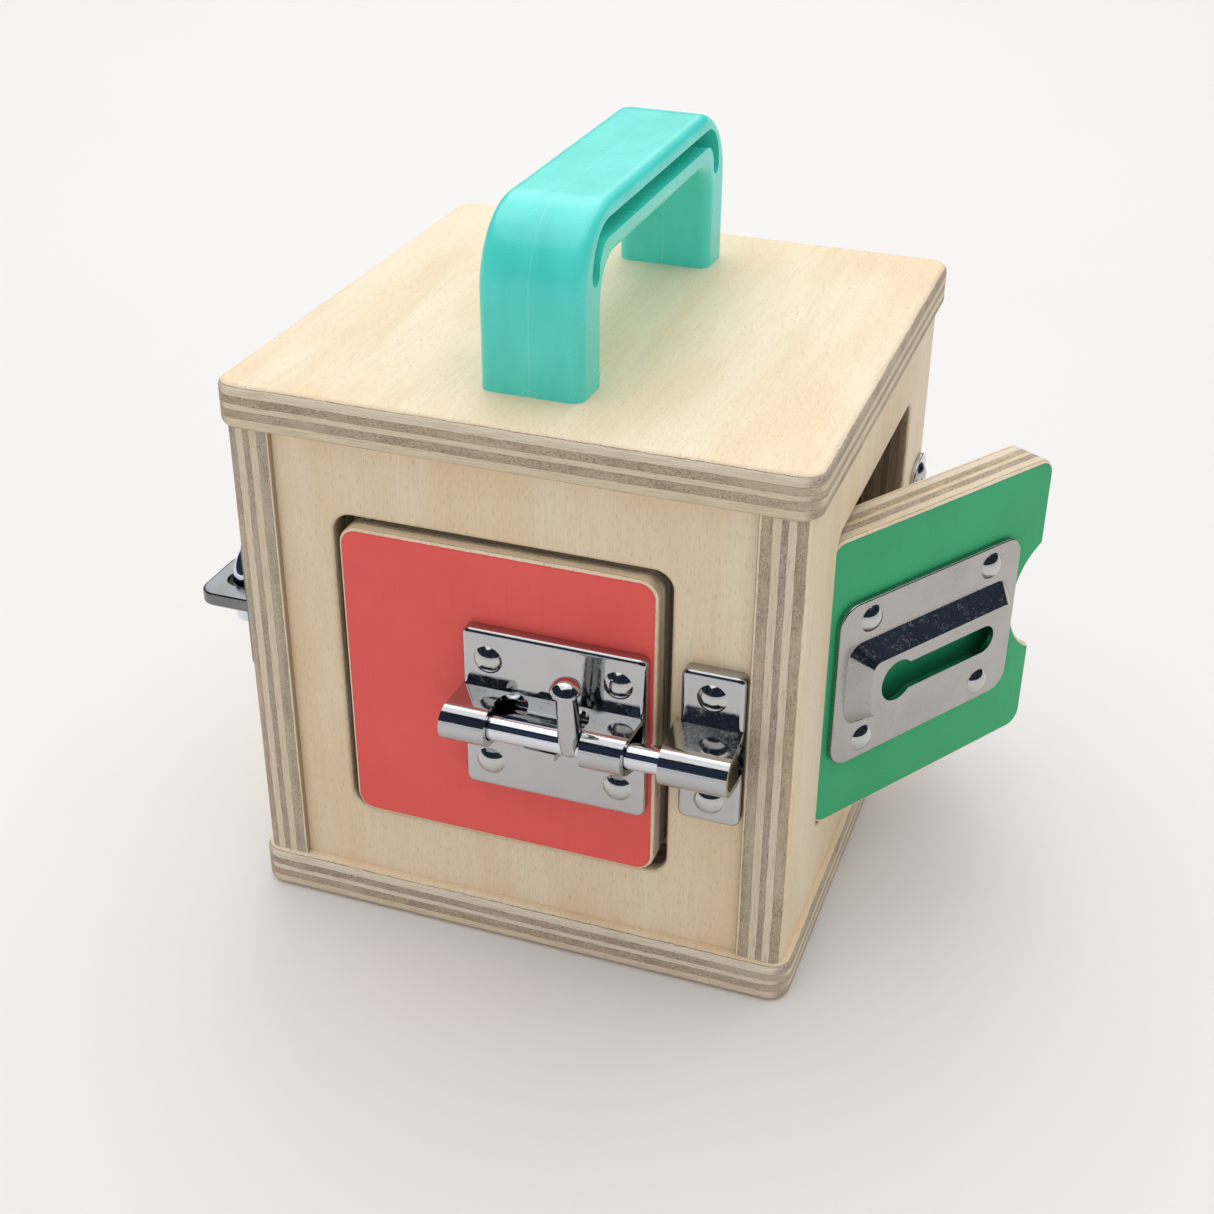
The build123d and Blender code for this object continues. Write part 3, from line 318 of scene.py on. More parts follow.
# %% Find the layer that a point is in
LAYER_ENDS = (0.055, 0.245, 0.415, 0.545, 0.725, 0.94)
SLOW_WANDER, FINE_WANDER = 0.045, 0.03
FINE_BITES_A_MM = (0.5, 0.5, 1.5)


def ramp(tree, factor, stops, way):
    """A colour ramp with grey stops, given as (place, grey)."""
    made = node(tree, "ShaderNodeValToRGB", {0: factor})
    made.color_ramp.interpolation = way
    for _ in stops[2:]:
        made.color_ramp.elements.new(0.5)
    for element, (where, grey) in zip(made.color_ramp.elements, stops):
        element.position = where
        element.color = (grey, grey, grey, 1)
    return made.outputs[0]


tree, given, outlets = new_group(
    "Plywood",
    {
        "Place": "Vector",
        "Facing": "Vector",
        "Thickness": "Float",
        "Seed": "Float",
        "Veneer": "Color",
    },
    {"Color": "Color", "Height": "Float", "Roughness": "Float"},
)
place = given["Place"]
slow = shift(tree, noise(tree, place, 0.06, 2.0), SLOW_WANDER)
fine = shift(tree, grain(tree, place, FINE_BITES_A_MM, 3.0, 0.65), FINE_WANDER)
straight_share = maths(tree, "DIVIDE", parts_of(tree, place)[2], given["Thickness"])
share = plus(tree, straight_share, plus(tree, slow, fine))
last = len(LAYER_ENDS)
steps = [(0.0, 0.0)] + [(end, (i + 1) / last) for i, end in enumerate(LAYER_ENDS)]
layer = maths(tree, "ROUND", times(tree, ramp(tree, share, steps, "CONSTANT"), last))
print("layers end at", LAYER_ENDS)

# %% [markdown]
# The odd layers run with the board's grain and the even ones across it, counting from one. How far
# the surface faces a layer's own grain says how squarely it cuts it. A thin dark line marks the
# glue between two layers.

# %% Find the cut of the layer, and the glue
GLUE_HALF_WIDTH = 0.008

crossed = maths(tree, "MODULO", layer, 2.0)
square = parts_of(tree, vectors(tree, "ABSOLUTE", given["Facing"]))
straight_cut = times(tree, square[0], minus(tree, 1.0, crossed))
crossed_cut = times(tree, square[1], crossed)
end_grain = rise(tree, plus(tree, straight_cut, crossed_cut), 0.25, 0.75)
glue_stops = [
    (end + side * GLUE_HALF_WIDTH, 1.0 - abs(side)) for end in LAYER_ENDS for side in (-1, 0, 1)
]
glue = ramp(tree, share, glue_stops, "LINEAR")
print("glue lines drawn with", len(glue_stops), "stops")

# %% [markdown]
# Long grain is cream with fine darker lines. End grain is a bundle of cut tubes: grey brown, dark
# in the pits, pale on the rims, and in places sanded so smooth that it fades towards the cream.
# Each layer came from another sheet, so a random number gives each one its own tint.

# %% Colours of the layers
TINT_STEP = 7.31

which = maths(tree, "MULTIPLY_ADD", given["Seed"], TINT_STEP, layer)
draw = node(tree, "ShaderNodeTexWhiteNoise", {"W": which}, noise_dimensions="1D")
tint = draw.outputs["Value"]
lines = grain(tree, place, (0.12, 0.12, 5.0), 3.0, 0.6)
fibres = grain(tree, place, (0.9, 0.9, 3.0), 2.0, 0.5)
specks = grain(tree, place, (2.6, 2.6, 3.2), 3.0, 0.7)
patches = noise(tree, place, 0.14, 3.0, 0.6)
sanded = grain(tree, place, (0.035, 0.035, 0.3), 3.0, 0.6)
long_grain = layered(
    tree,
    mixed(tree, rise(tree, tint, 0.0, 1.0), colour(236, 224, 203), colour(226, 205, 172)),
    (rise(tree, lines, 0.45, 0.7, 0.0, 0.65), colour(186, 164, 136)),
    (rise(tree, fibres, 0.58, 0.72, 0.0, 0.2), colour(172, 148, 120)),
)
cut_grain = layered(
    tree,
    mixed(tree, rise(tree, tint, 0.2, 0.9), colour(198, 183, 164), colour(202, 184, 154)),
    (rise(tree, patches, 0.4, 0.7, 0.0, 0.6), colour(168, 148, 127)),
    (rise(tree, fibres, 0.45, 0.65, 0.0, 0.55), colour(140, 120, 100)),
    (rise(tree, specks, 0.55, 0.66, 0.0, 0.7), colour(108, 88, 70)),
    (rise(tree, specks, 0.34, 0.44, 0.45, 0.0), colour(210, 200, 186)),
    (rise(tree, sanded, 0.42, 0.68, 0.0, 0.6), colour(214, 199, 174)),
)
print("group", tree.name, "has", len(tree.nodes), "nodes so far")

# %% [markdown]
# The cut chooses between the two grains, and the glue is laid over both, darker in some places than
# in others. Near the board's two faces the veneer takes over from the edge.

# %% Close the plywood group
GLUE_TONE = colour(118, 92, 68)

broken = rise(tree, grain(tree, place, (0.25, 0.25, 0.1), 2.0), 0.3, 0.6, 0.25, 0.8)
edge = mixed(tree, end_grain, long_grain, cut_grain)
edge = mixed(tree, times(tree, glue, broken), edge, GLUE_TONE)
outer_face = rise(tree, share, 0.035, 0.055, 1.0, 0.0)
inner_face = rise(tree, share, 0.945, 0.965)
on_face = maths(tree, "MAXIMUM", outer_face, inner_face)
pitted = times(tree, end_grain, rise(tree, specks, 0.62, 0.5, 0.0, 1.0))
relief = plus(tree, times(tree, lines, 0.5), times(tree, pitted, 0.8))
relief = minus(tree, relief, times(tree, glue, 0.5))
put_out(
    tree,
    outlets,
    Color=mixed(tree, on_face, edge, given["Veneer"]),
    Height=times(tree, relief, minus(tree, 1.0, on_face)),
    Roughness=rise(tree, end_grain, 0.0, 1.0, 0.5, 0.72),
)

# %% [markdown]
# ## Rounded outlines
# A door and its opening are both rectangles with round corners. This group gives the distance of a
# point from such an outline: positive outside, negative inside.

# %% Build the rounded outline group
tree, given, outlets = new_group(
    "Rounded outline",
    {"Place": "Vector", "Centre": "Vector", "Half size": "Vector", "Corner": "Float"},
    {"Distance": "Float"},
)
corner = joined(tree, given["Corner"], given["Corner"])
core = vectors(tree, "SUBTRACT", given["Half size"], corner)
flat = stretched(tree, given["Place"], (1, 1, 0))
from_centre = vectors(tree, "ABSOLUTE", vectors(tree, "SUBTRACT", flat, given["Centre"]))
away = vectors(tree, "SUBTRACT", from_centre, core)
parts = parts_of(tree, away)
beyond = vectors(tree, "LENGTH", vectors(tree, "MAXIMUM", away, (0, 0, 0)))
within = maths(tree, "MINIMUM", maths(tree, "MAXIMUM", parts[0], parts[1]), 0.0)
put_out(tree, outlets, Distance=minus(tree, plus(tree, beyond, within), given["Corner"]))

# %% [markdown]
# ## A board's finish
# A board needs to know where its outer face is, which way the grain runs and how thick it is. The
# first board function takes these and puts the groups together. The bump is about an eighth of a
# millimetre high, and the veneer takes a quarter of that, enough to break up a highlight.

# %% Helpers for a material
RELIEF = 0.00012
VENEER_PART = 0.25


def new_material(name):
    """An empty material with its shader."""
    material = bpy.data.materials.new(name)
    material.use_nodes = True
    return material, material.node_tree, material.node_tree.nodes["Principled BSDF"]


def raised(tree, height, strength, distance):
    """A bump from a height."""
    inputs = {"Height": height, "Strength": strength, "Distance": distance}
    return node(tree, "ShaderNodeBump", inputs).outputs[0]


def dress(solid, material):
    """Gives a solid one material."""
    mesh = frame["nodes"][solid].data
    mesh.materials.clear()
    mesh.materials.append(material)


def board_nets(tree, start, grain_way, outward, thickness, seed, light, warm):
    """Places the board groups for one board, and returns what the shader and the paint need."""
    across = grain_way.cross(outward)
    spot = place_group(
        tree, "Board place", Start=start, Grain=grain_way, Across=across, Inward=-outward
    )
    place = spot["Place"]
    veneer = place_group(tree, "Birch veneer", Place=place, Seed=seed, Light=light, Warm=warm)
    wood = place_group(
        tree,
        "Plywood",
        Place=place,
        Facing=spot["Facing"],
        Thickness=thickness,
        Seed=seed,
        Veneer=veneer["Color"],
    )
    height = maths(tree, "MULTIPLY_ADD", veneer["Height"], VENEER_PART, wood["Height"])
    return place, wood["Color"], wood["Roughness"], height


# %% [markdown]
# Inside the box, and down the sides of the door openings, a painted shade darkens the wood: a brown
# laid into its colour where little light reaches. A wall's opening is not written down here. It is
# read from the solid: on the inner face, the only corners that lie well inside the wall's outline,
# past the dowels' holes, are those round the opening.

# %% Read a wall's opening
BEYOND_DOWELS = 13.0
ON_FACE = 0.05


def spans(places, count):
    """The lowest and the highest of each of a place's first few numbers."""
    return [[pick(place[i] for place in places) for i in range(count)] for pick in (min, max)]


def opening_on(solid, start, grain_way, outward, thickness):
    """A wall's opening as its centre and its half size on the board."""
    across = grain_way.cross(outward)
    points = [MILLIMETRES * (vertex.co - start) for vertex in frame["nodes"][solid].data.vertices]
    inner = [point for point in points if -point.dot(outward) > thickness - ON_FACE]
    places = [(point.dot(grain_way), point.dot(across)) for point in inner]
    low, high = spans(places, 2)
    limits = [(a + BEYOND_DOWELS, b - BEYOND_DOWELS) for a, b in zip(low, high)]
    ring = [place for place in places if all(a < v < b for v, (a, b) in zip(place, limits))]
    low, high = spans(ring, 2)
    print(solid, "has an opening of", [round(b - a, 2) for a, b in zip(low, high)], "mm")
    centre = [(b + a) / 2 for a, b in zip(low, high)]
    half = [(b - a) / 2 for a, b in zip(low, high)]
    return (*centre, 0), (*half, 0)


# %% The plywood material
BOARD_LIGHT, BOARD_WARM = colour(247, 229, 201), colour(242, 218, 182)
# Painted shade: a brown laid into the wood down the sides of a door opening and on a wall's inner
# face.
PAINTED_SHADE_TONE, PAINTED_SHADE_SHARE = colour(74, 54, 38), 0.6
OPENING_CORNER = 5.0


def painted_shade_parts(tree, place, thickness, opening):
    """How much painted shade a point gets: down the sides of the opening and on the inner face."""
    outline = place_group(
        tree,
        "Rounded outline",
        Place=place,
        Centre=opening[0],
        Half_size=opening[1],
        Corner=OPENING_CORNER,
    )
    depth = parts_of(tree, place)[2]
    beside = rise(tree, outline["Distance"], 0.4, 0.1)
    in_opening = times(tree, beside, rise(tree, depth, 0.9, 3.5))
    on_inner_face = rise(tree, depth, thickness - 0.3, thickness - 0.1)
    return maths(tree, "MAXIMUM", in_opening, on_inner_face)


def plywood(name, start, grain_way, outward, thickness, seed, opening):
    """Bare plywood for one board. A wall's opening, if given, gets painted shade down its sides and
    on the inner face.
    """
    material, tree, shader = new_material(name)
    place, tone, dullness, height = board_nets(
        tree, start, grain_way, outward, thickness, seed, BOARD_LIGHT, BOARD_WARM
    )
    if opening:
        # Painted shade mixed into the wood's colour in the opening and on the inner face.
        painted_shade = times(tree, painted_shade_parts(tree, place, thickness, opening), PAINTED_SHADE_SHARE)
        tone = mixed(tree, painted_shade, tone, PAINTED_SHADE_TONE)
    normal = raised(tree, height, strength=0.6, distance=RELIEF)
    feed(tree, shader.inputs, {"Base Color": tone, "Roughness": dullness, "Normal": normal})
    feed(tree, shader.inputs, {"Specular IOR Level": 0.35})
    return material


# %% [markdown]
# The lid and the base have their grain from front to back, and the four walls have theirs upright.
# Each board is dressed by the same loop, which reads its corners and its thickness from the solid.

# %% Dress the six boards
UP, RIGHT, BACK = Vector((0, 0, 1)), Vector((1, 0, 0)), Vector((0, 1, 0))
boards = {
    "lid_board": (UP, BACK, 1.0),
    "base_board": (UP, BACK, 2.0),
    "front_panel": (-BACK, UP, 3.0),
    "back_panel": (BACK, UP, 4.0),
    "left_side_panel": (-RIGHT, UP, 5.0),
    "right_side_panel": (RIGHT, UP, 6.0),
}
for solid, (outward, grain_way, seed) in boards.items():
    low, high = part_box(solid)
    start = high if sum(outward) > 0 else low
    thickness = MILLIMETRES * abs((high - low).dot(outward))
    is_wall = grain_way == UP
    opening = opening_on(solid, start, grain_way, outward, thickness) if is_wall else None
    finish = plywood("birch_" + solid, start, grain_way, outward, thickness, seed, opening)
    dress(solid, finish)
    print(solid, "is", round(thickness, 2), "mm thick")

# %% [markdown]
# ## Painted doors
# Each door is a small board whose outer face alone is painted. The edges were sanded after the
# paint, so a pale line runs round the face. The paint stops at a steady distance from the board's
# outline. The right door's finger notch is a round bite, so a circle limits the paint there too.

# %% Build the paint edge group
tree, given, outlets = new_group(
    "Paint edge",
    {
        "Place": "Vector",
        "Centre": "Vector",
        "Half size": "Vector",
        "Corner": "Float",
        "Notch": "Vector",
        "Notch radius": "Float",
        "Margin": "Float",
    },
    {"Mask": "Float", "Rim": "Float"},
)
flat = stretched(tree, given["Place"], (1, 1, 0))
outline = place_group(
    tree,
    "Rounded outline",
    Place=flat,
    Centre=given["Centre"],
    Half_size=given["Half size"],
    Corner=given["Corner"],
)
from_notch = vectors(tree, "LENGTH", vectors(tree, "SUBTRACT", flat, given["Notch"]))
in_notch = minus(tree, given["Notch radius"], from_notch)
inset = times(tree, maths(tree, "MAXIMUM", outline["Distance"], in_notch), -1.0)
ragged = shift(tree, noise(tree, flat, 0.9, 3.0, 0.6), 0.24)
inset = minus(tree, plus(tree, inset, ragged), given["Margin"])
on_top = rise(tree, parts_of(tree, given["Place"])[2], 0.12, 0.3, 1.0, 0.0)
mask = times(tree, rise(tree, inset, -0.06, 0.06), on_top)
rim = times(tree, rise(tree, inset, 0.1, 0.7, 1.0, 0.0), mask)
put_out(tree, outlets, Mask=mask, Rim=rim)

# %% [markdown]
# The paint itself is a satin coat that lets the veneer's grain telegraph through as fine upright
# ripples. It gathers a little darker at its rim, and a few specks of pale sanding dust are in it.

# %% Build the rolled paint group
RIPPLES_A_MM = (0.05, 2.2, 0.2)
DUST_TONE, DUST_A_MM = colour(240, 228, 214), 0.11

tree, given, outlets = new_group(
    "Rolled paint",
    {"Place": "Vector", "Paint": "Color", "Deep": "Color", "Rim": "Float", "Seed": "Float"},
    {"Color": "Color", "Height": "Float", "Roughness": "Float"},
)
moved = vectors(tree, "ADD", given["Place"], joined(tree, given["Seed"], given["Seed"]))
ripples = grain(tree, moved, RIPPLES_A_MM, 3.0, 0.55)
roller = noise(tree, moved, 1.3, 2.0, 0.5)
cloudy = noise(tree, moved, 0.035, 3.0, 0.5)
dust = node(tree, "ShaderNodeTexVoronoi", {"Vector": moved, "Scale": DUST_A_MM}).outputs
draw = node(tree, "ShaderNodeSeparateColor", {0: dust["Color"]}).outputs[1]
dot = rise(tree, dust["Distance"], 0.008, 0.02, 1.0, 0.0)
specks = times(tree, dot, rise(tree, draw, 0.7, 0.74))
tone = layered(
    tree,
    given["Paint"],
    (rise(tree, cloudy, 0.3, 0.7, 0.0, 0.35), given["Deep"]),
    (rise(tree, ripples, 0.5, 0.75, 0.0, 0.22), given["Deep"]),
    (times(tree, given["Rim"], 0.6), given["Deep"]),
    (times(tree, specks, 0.5), DUST_TONE),
)
height = plus(tree, times(tree, ripples, 0.7), times(tree, roller, 0.3))
put_out(
    tree,
    outlets,
    Color=tone,
    Height=plus(tree, height, specks),
    Roughness=rise(tree, roller, 0.3, 0.7, 0.42, 0.52),
)

# %% [markdown]
# A door hangs on its pivot line, so its place is measured from there. The direction to its free
# edge comes from the joint: the right door stands open at rest, by the angle that its joint can
# close. The board's size is then read from the solid's own corners, and printed as a check.

# %% Measure a door
DOOR_FACE = 0.006
SCOOP_CHORD, SCOOP_DEPTH = 32.6, 10.0
SCOOP_RADIUS = (SCOOP_CHORD**2 / 4 + SCOOP_DEPTH**2) / (2 * SCOOP_DEPTH)


def measured_door(solid, joint, closed, swing):
    """A door's way out, the start of its places, and its lowest and highest place."""
    outward = (Matrix.Rotation(-swing, 3, "Z") @ closed).cross(UP)
    start = Vector(joints[joint]["pos_m"]) + outward * DOOR_FACE
    ways = [UP, UP.cross(outward), outward]
    points = [vertex.co - start for vertex in frame["nodes"][solid].data.vertices]
    places = [[MILLIMETRES * point.dot(way) for way in ways] for point in points]
    low, high = spans(places, 3)
    print(solid, "spans", [round(b - a, 2) for a, b in zip(low, high)], "mm")
    return outward, start, low, high


# %% The painted door material
DOOR_LIGHT, DOOR_WARM = colour(245, 229, 203), colour(240, 219, 187)
DOOR_CORNER = 5.0
PAINT_MARGIN = 0.8
PAINT_SEED_STEP = 31
COAT_TEXTURE = 0.16


def door_finish(solid, joint, closed, swing, seed, paint, deep, notched=False):
    """Paints a door's outer face, and leaves its edges bare."""
    outward, start, low, high = measured_door(solid, joint, closed, swing)
    material, tree, shader = new_material(solid + "_finish")
    place, tone, dullness, height = board_nets(
        tree, start, UP, outward, high[2] - low[2], seed, DOOR_LIGHT, DOOR_WARM
    )
    middle = [(a + b) / 2 for a, b in zip(low, high)]
    edge = place_group(
        tree,
        "Paint edge",
        Place=place,
        Centre=(middle[0], middle[1], 0),
        Half_size=((high[0] - low[0]) / 2, (high[1] - low[1]) / 2, 0),
        Corner=DOOR_CORNER,
        Notch=(middle[0], high[1] + SCOOP_RADIUS - SCOOP_DEPTH, 0),
        Notch_radius=SCOOP_RADIUS if notched else 0.0,
        Margin=PAINT_MARGIN,
    )
    coat = place_group(
        tree,
        "Rolled paint",
        Place=place,
        Paint=colour(*paint),
        Deep=colour(*deep),
        Rim=edge["Rim"],
        Seed=seed * PAINT_SEED_STEP,
    )
    mask = edge["Mask"]
    dull = {0: mask, 2: dullness, 3: coat["Roughness"]}
    wood_height = times(tree, height, minus(tree, 1.0, mask))
    coat_top = maths(tree, "MULTIPLY_ADD", coat["Height"], COAT_TEXTURE, 1.0)
    height = plus(tree, wood_height, times(tree, coat_top, mask))
    values = {
        "Base Color": mixed(tree, mask, tone, coat["Color"]),
        "Roughness": node(tree, "ShaderNodeMix", dull, data_type="FLOAT").outputs[0],
        "Normal": raised(tree, height, strength=0.55, distance=RELIEF),
        "Specular IOR Level": 0.4,
    }
    feed(tree, shader.inputs, values)
    dress(solid, material)


# %% [markdown]
# The red and the green are matched to the photograph. The two doors that it hides get a yellow and
# a blue of the same depth.

# %% Paint the four doors
RED, DEEP_RED = (246, 96, 88), (230, 80, 74)
GREEN, DEEP_GREEN = (48, 182, 120), (34, 156, 100)
YELLOW, DEEP_YELLOW = (244, 196, 66), (222, 166, 40)
BLUE, DEEP_BLUE = (66, 138, 206), (40, 102, 170)
open_angle = math.radians(-joints["right_door_hinge"]["range_deg"][0])
door_finish("front_door_panel", "front_door_hinge", RIGHT, 0, 11.0, RED, DEEP_RED)
door_finish("right_door_panel", "right_door_hinge", BACK, open_angle, 12.0, GREEN, DEEP_GREEN, True)
door_finish("left_door_panel", "left_door_hinge", -BACK, 0, 13.0, YELLOW, DEEP_YELLOW)
door_finish("back_door_panel", "back_door_hinge", -RIGHT, 0, 14.0, BLUE, DEEP_BLUE)

# %% [markdown]
# ## Moulded handle
# The handle is one shot of polypropylene: an even, bright turquoise with a soft sheen. The two
# halves of the mould leave a hair line down the middle of the outer faces, and the foot has the
# small flattened mark where the plastic ran in. Both are a little paler and slightly raised.

# %% Find the handle's mould marks
GATE_RADIUS, GATE_RISE = 1.9, 0.9
GATE_SQUASH = 2.5
low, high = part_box("carry_handle")
foot, front = MILLIMETRES * low.z, MILLIMETRES * high.y
material, tree, shader = new_material("turquoise_plastic")
place = in_millimetres(tree, object_place(tree))
parts = parts_of(tree, place)
parting = rise(tree, maths(tree, "ABSOLUTE", parts[0]), 0.08, 0.26, 1.0, 0.0)
gate_centre = (0, 0, GATE_SQUASH * (foot + GATE_RISE))
from_gate = vectors(tree, "SUBTRACT", stretched(tree, place, (1, 0, GATE_SQUASH)), gate_centre)
from_ring = minus(tree, vectors(tree, "LENGTH", from_gate), GATE_RADIUS)
ring = rise(tree, maths(tree, "ABSOLUTE", from_ring), 0.12, 0.4, 1.0, 0.0)
outer = rise(tree, maths(tree, "ABSOLUTE", parts[1]), front - 0.6, front - 0.2)
gate = times(tree, ring, outer)
print("handle foot at", round(foot, 2), "mm")

# %% The handle's material
MOULD_RELIEF = 0.0001

skin = noise(tree, place, 0.5, 1.0, 0.5)
flow = grain(tree, place, (0.12, 0.05, 0.04), 2.0, 0.5)
scuffs = rise(tree, noise(tree, place, 0.22, 5.0, 0.7), 0.55, 0.75)
tone = layered(
    tree,
    mixed(tree, rise(tree, flow, 0.3, 0.7), colour(84, 234, 221), colour(74, 224, 211)),
    (times(tree, parting, 0.25), colour(150, 240, 228)),
    (times(tree, gate, 0.35), colour(170, 244, 234)),
)
marks = maths(tree, "MULTIPLY_ADD", parting, 0.1, times(tree, gate, 0.5))
height = maths(tree, "MULTIPLY_ADD", skin, 0.04, marks)
values = {
    "Base Color": tone,
    "Roughness": rise(tree, scuffs, 0.0, 1.0, 0.26, 0.32),
    "Normal": raised(tree, height, strength=0.3, distance=MOULD_RELIEF),
    "Specular IOR Level": 0.7,
}
feed(tree, shader.inputs, values)
dress("carry_handle", material)
print(material.name, "with", len(tree.nodes), "nodes")

# %% [markdown]
# ## Plated metal
# The latches are pressed steel with a thin bright plating. A mirror has no colour of its own, so
# what makes it real is how it fails: faint waves from the press, a bloom of fingerprints that
# dulls it in patches, hair scratches, and little curled scuffs from play. One group makes all four,
# and each metal sets how strong they are.

# %% Build the worn plating group
tree, given, outlets = new_group(
    "Worn plating",
    {
        "Brush": "Vector",
        "Polish": "Float",
        "Dulled": "Float",
        "Scuffed": "Float",
        "Bright": "Color",
        "Tarnish": "Color",
    },
    {"Color": "Color", "Height": "Float", "Roughness": "Float"},
)
place = in_millimetres(tree, object_place(tree))
waves = noise(tree, place, 0.11, 3.0, 0.45)
bloom = rise(tree, noise(tree, place, 0.09, 2.0, 0.5, 0.4), 0.35, 0.8)
scratches = grain(tree, place, given["Brush"], 1.0, 0.5)
pits = rise(tree, noise(tree, place, 1.1, 1.0, 0.5), 0.7, 0.8)
curls = rise(tree, noise(tree, place, 0.55, 4.0, 0.65, 1.5), 0.52, 0.66)
dulling = plus(tree, times(tree, bloom, 0.8), times(tree, scratches, 0.3))
span = minus(tree, given["Dulled"], given["Polish"])
roughness = maths(tree, "MULTIPLY_ADD", dulling, span, given["Polish"])
tarnished = plus(tree, times(tree, bloom, 0.35), times(tree, pits, 0.3))
height = plus(tree, waves, times(tree, scratches, 0.12))
put_out(
    tree,
    outlets,
    Color=mixed(tree, tarnished, given["Bright"], given["Tarnish"]),
    Height=minus(tree, height, times(tree, pits, 0.2)),
    Roughness=maths(tree, "MULTIPLY_ADD", curls, given["Scuffed"], roughness),
)

# %% The plated metal material
PLATE_RELIEF = 0.0002


def plated(name, brush, polish, dulled, scuffed, bright, tarnish, wave):
    """A plated or brushed metal. Its brush is how many scratches a millimetre has each way."""
    material, tree, shader = new_material(name)
    worn = place_group(
        tree,
        "Worn plating",
        Brush=brush,
        Polish=polish,
        Dulled=dulled,
        Scuffed=scuffed,
        Bright=colour(*bright),
        Tarnish=colour(*tarnish),
    )
    normal = raised(tree, worn["Height"], strength=wave, distance=PLATE_RELIEF)
    feed(tree, shader.inputs, {"Base Color": worn["Color"], "Roughness": worn["Roughness"]})
    feed(tree, shader.inputs, {"Normal": normal, "Metallic": 1.0})
    return material


# %% [markdown]
# Seven metals are enough. The flat plates have a greyer chrome than the turned rod and the bent
# wires. The slotted plate and the hasp have a satin steel that shows its handling most.

# %% Mix the metals
chrome = plated(
    "chrome_plate", brush=(0.3, 2.5, 2.5), polish=0.04, dulled=0.11, scuffed=0.14,
    bright=(194, 195, 196), tarnish=(180, 180, 180), wave=0.12,
)
rod_chrome = plated(
    "turned_chrome", brush=(4.0, 0.2, 0.2), polish=0.04, dulled=0.11, scuffed=0.0,
    bright=(228, 232, 238), tarnish=(208, 212, 218), wave=0.10,
)
satin = plated(
    "satin_steel", brush=(0.3, 0.3, 1.6), polish=0.09, dulled=0.17, scuffed=0.18,
    bright=(182, 179, 175), tarnish=(162, 158, 153), wave=0.32,
)
dark_steel = plated(
    "cast_lug_steel", brush=(0.6, 0.6, 0.6), polish=0.12, dulled=0.22, scuffed=0.0,
    bright=(128, 130, 132), tarnish=(104, 103, 101), wave=0.15,
)
chain_steel = plated(
    "bright_chain_steel", brush=(1.0, 1.0, 1.0), polish=0.08, dulled=0.2, scuffed=0.0,
    bright=(222, 226, 234), tarnish=(190, 192, 198), wave=0.1,
)
rivet_steel = plated(
    "domed_screw_steel", brush=(1.0, 1.0, 1.0), polish=0.08, dulled=0.16, scuffed=0.0,
    bright=(204, 203, 200), tarnish=(186, 183, 178), wave=0.08,
)
pin_steel = plated(
    "pivot_steel", brush=(0.8, 0.8, 3.0), polish=0.18, dulled=0.34, scuffed=0.0,
    bright=(196, 194, 190), tarnish=(160, 152, 144), wave=0.1,
)

# %% Dress the latches


def solids_ending(word):
    """The solids whose names end with a word."""
    return [solid for solid in frame["nodes"] if solid.endswith(word)]


metal_of = {
    chrome: ["bolt_housing", "bolt_keeper", "bolt_knob", "chain_anchor_plate", "hook_pivot_plate"],
    rod_chrome: ["bolt_rod", "hook_pivot_pin", "hasp_hinge_pin", "cabin_hook", "swivel_staple"],
    satin: ["chain_slot_plate", "hasp_fixed_leaf", "hasp_swing_leaf", "staple_plate"],
    dark_steel: ["hook_eye_bracket"],
    chain_steel: ["chain_links_upper", "chain_links_lower", "chain_end_button"],
    pin_steel: solids_ending("_pivots"),
    rivet_steel: solids_ending("_screws"),
}
for metal, solids in metal_of.items():
    for solid in solids:
        dress(solid, metal)
    print(metal.name, "on", len(solids), "solids")

# %% [markdown]
# ## Dowels
# Grooved beech dowels peg the boards together. They are hidden once the box is glued, so they get
# plain end grain and long fibres, pinkish brown like steamed beech.

# %% The dowels' material
material, tree, shader = new_material("beech_dowel")
flecks = grain(tree, in_millimetres(tree, object_place(tree)), (2.0, 2.0, 0.5), 3.0, 0.6)
light, dark = colour(214, 178, 138), colour(182, 140, 100)
values = {
    "Base Color": mixed(tree, rise(tree, flecks, 0.35, 0.7), light, dark),
    "Roughness": rise(tree, flecks, 0.3, 0.7, 0.5, 0.7),
    "Normal": raised(tree, flecks, strength=0.4, distance=RELIEF),
}
feed(tree, shader.inputs, values)
dowels = solids_ending("_dowels")
for solid in dowels:
    dress(solid, material)
print("beech on", len(dowels), "solids")

# %% [markdown]
# ## The studio
# The floor is plain and pale. It lies a hair below the box, so the two never share a face.

# %% The floor
FLOOR_REACH, FLOOR_LEVEL = 30.0, -0.0002
FLOOR_CORNERS = ((-1, -1), (1, -1), (1, 1), (-1, 1))


def staged(name, points, faces, material):
    """A mesh that belongs to the studio, and not to the box."""
    mesh = bpy.data.meshes.new(name)
    mesh.from_pydata(points, [], faces)
    mesh.materials.append(material)
    made = bpy.data.objects.new(name, mesh)
    bpy.context.collection.objects.link(made)
    return made


material, tree, shader = new_material("floor_paint")
soft = noise(tree, object_place(tree), 3.0, 3.0, 0.5)
floor_tone = mixed(tree, soft, colour(238, 236, 234), colour(233, 231, 229))
feed(tree, shader.inputs, {"Base Color": floor_tone, "Roughness": 0.55, "Specular IOR Level": 0.3})
corners = [(x * FLOOR_REACH, y * FLOOR_REACH, FLOOR_LEVEL) for x, y in FLOOR_CORNERS]
floor = staged("floor", corners, [(0, 1, 2, 3)], material)
print(floor.name, "reaches", FLOOR_REACH, "m each way")

# %% [markdown]
# Chrome shows whatever stands round it, so a product studio hangs dark cloth there and keeps the
# light overhead and behind: the metal then has crisp dark bands between a bright ceiling and a
# bright floor. The cloth is part of a wide dome that only reflections see. It stands tall in front
# of the box, where the latches face, and low at the back.

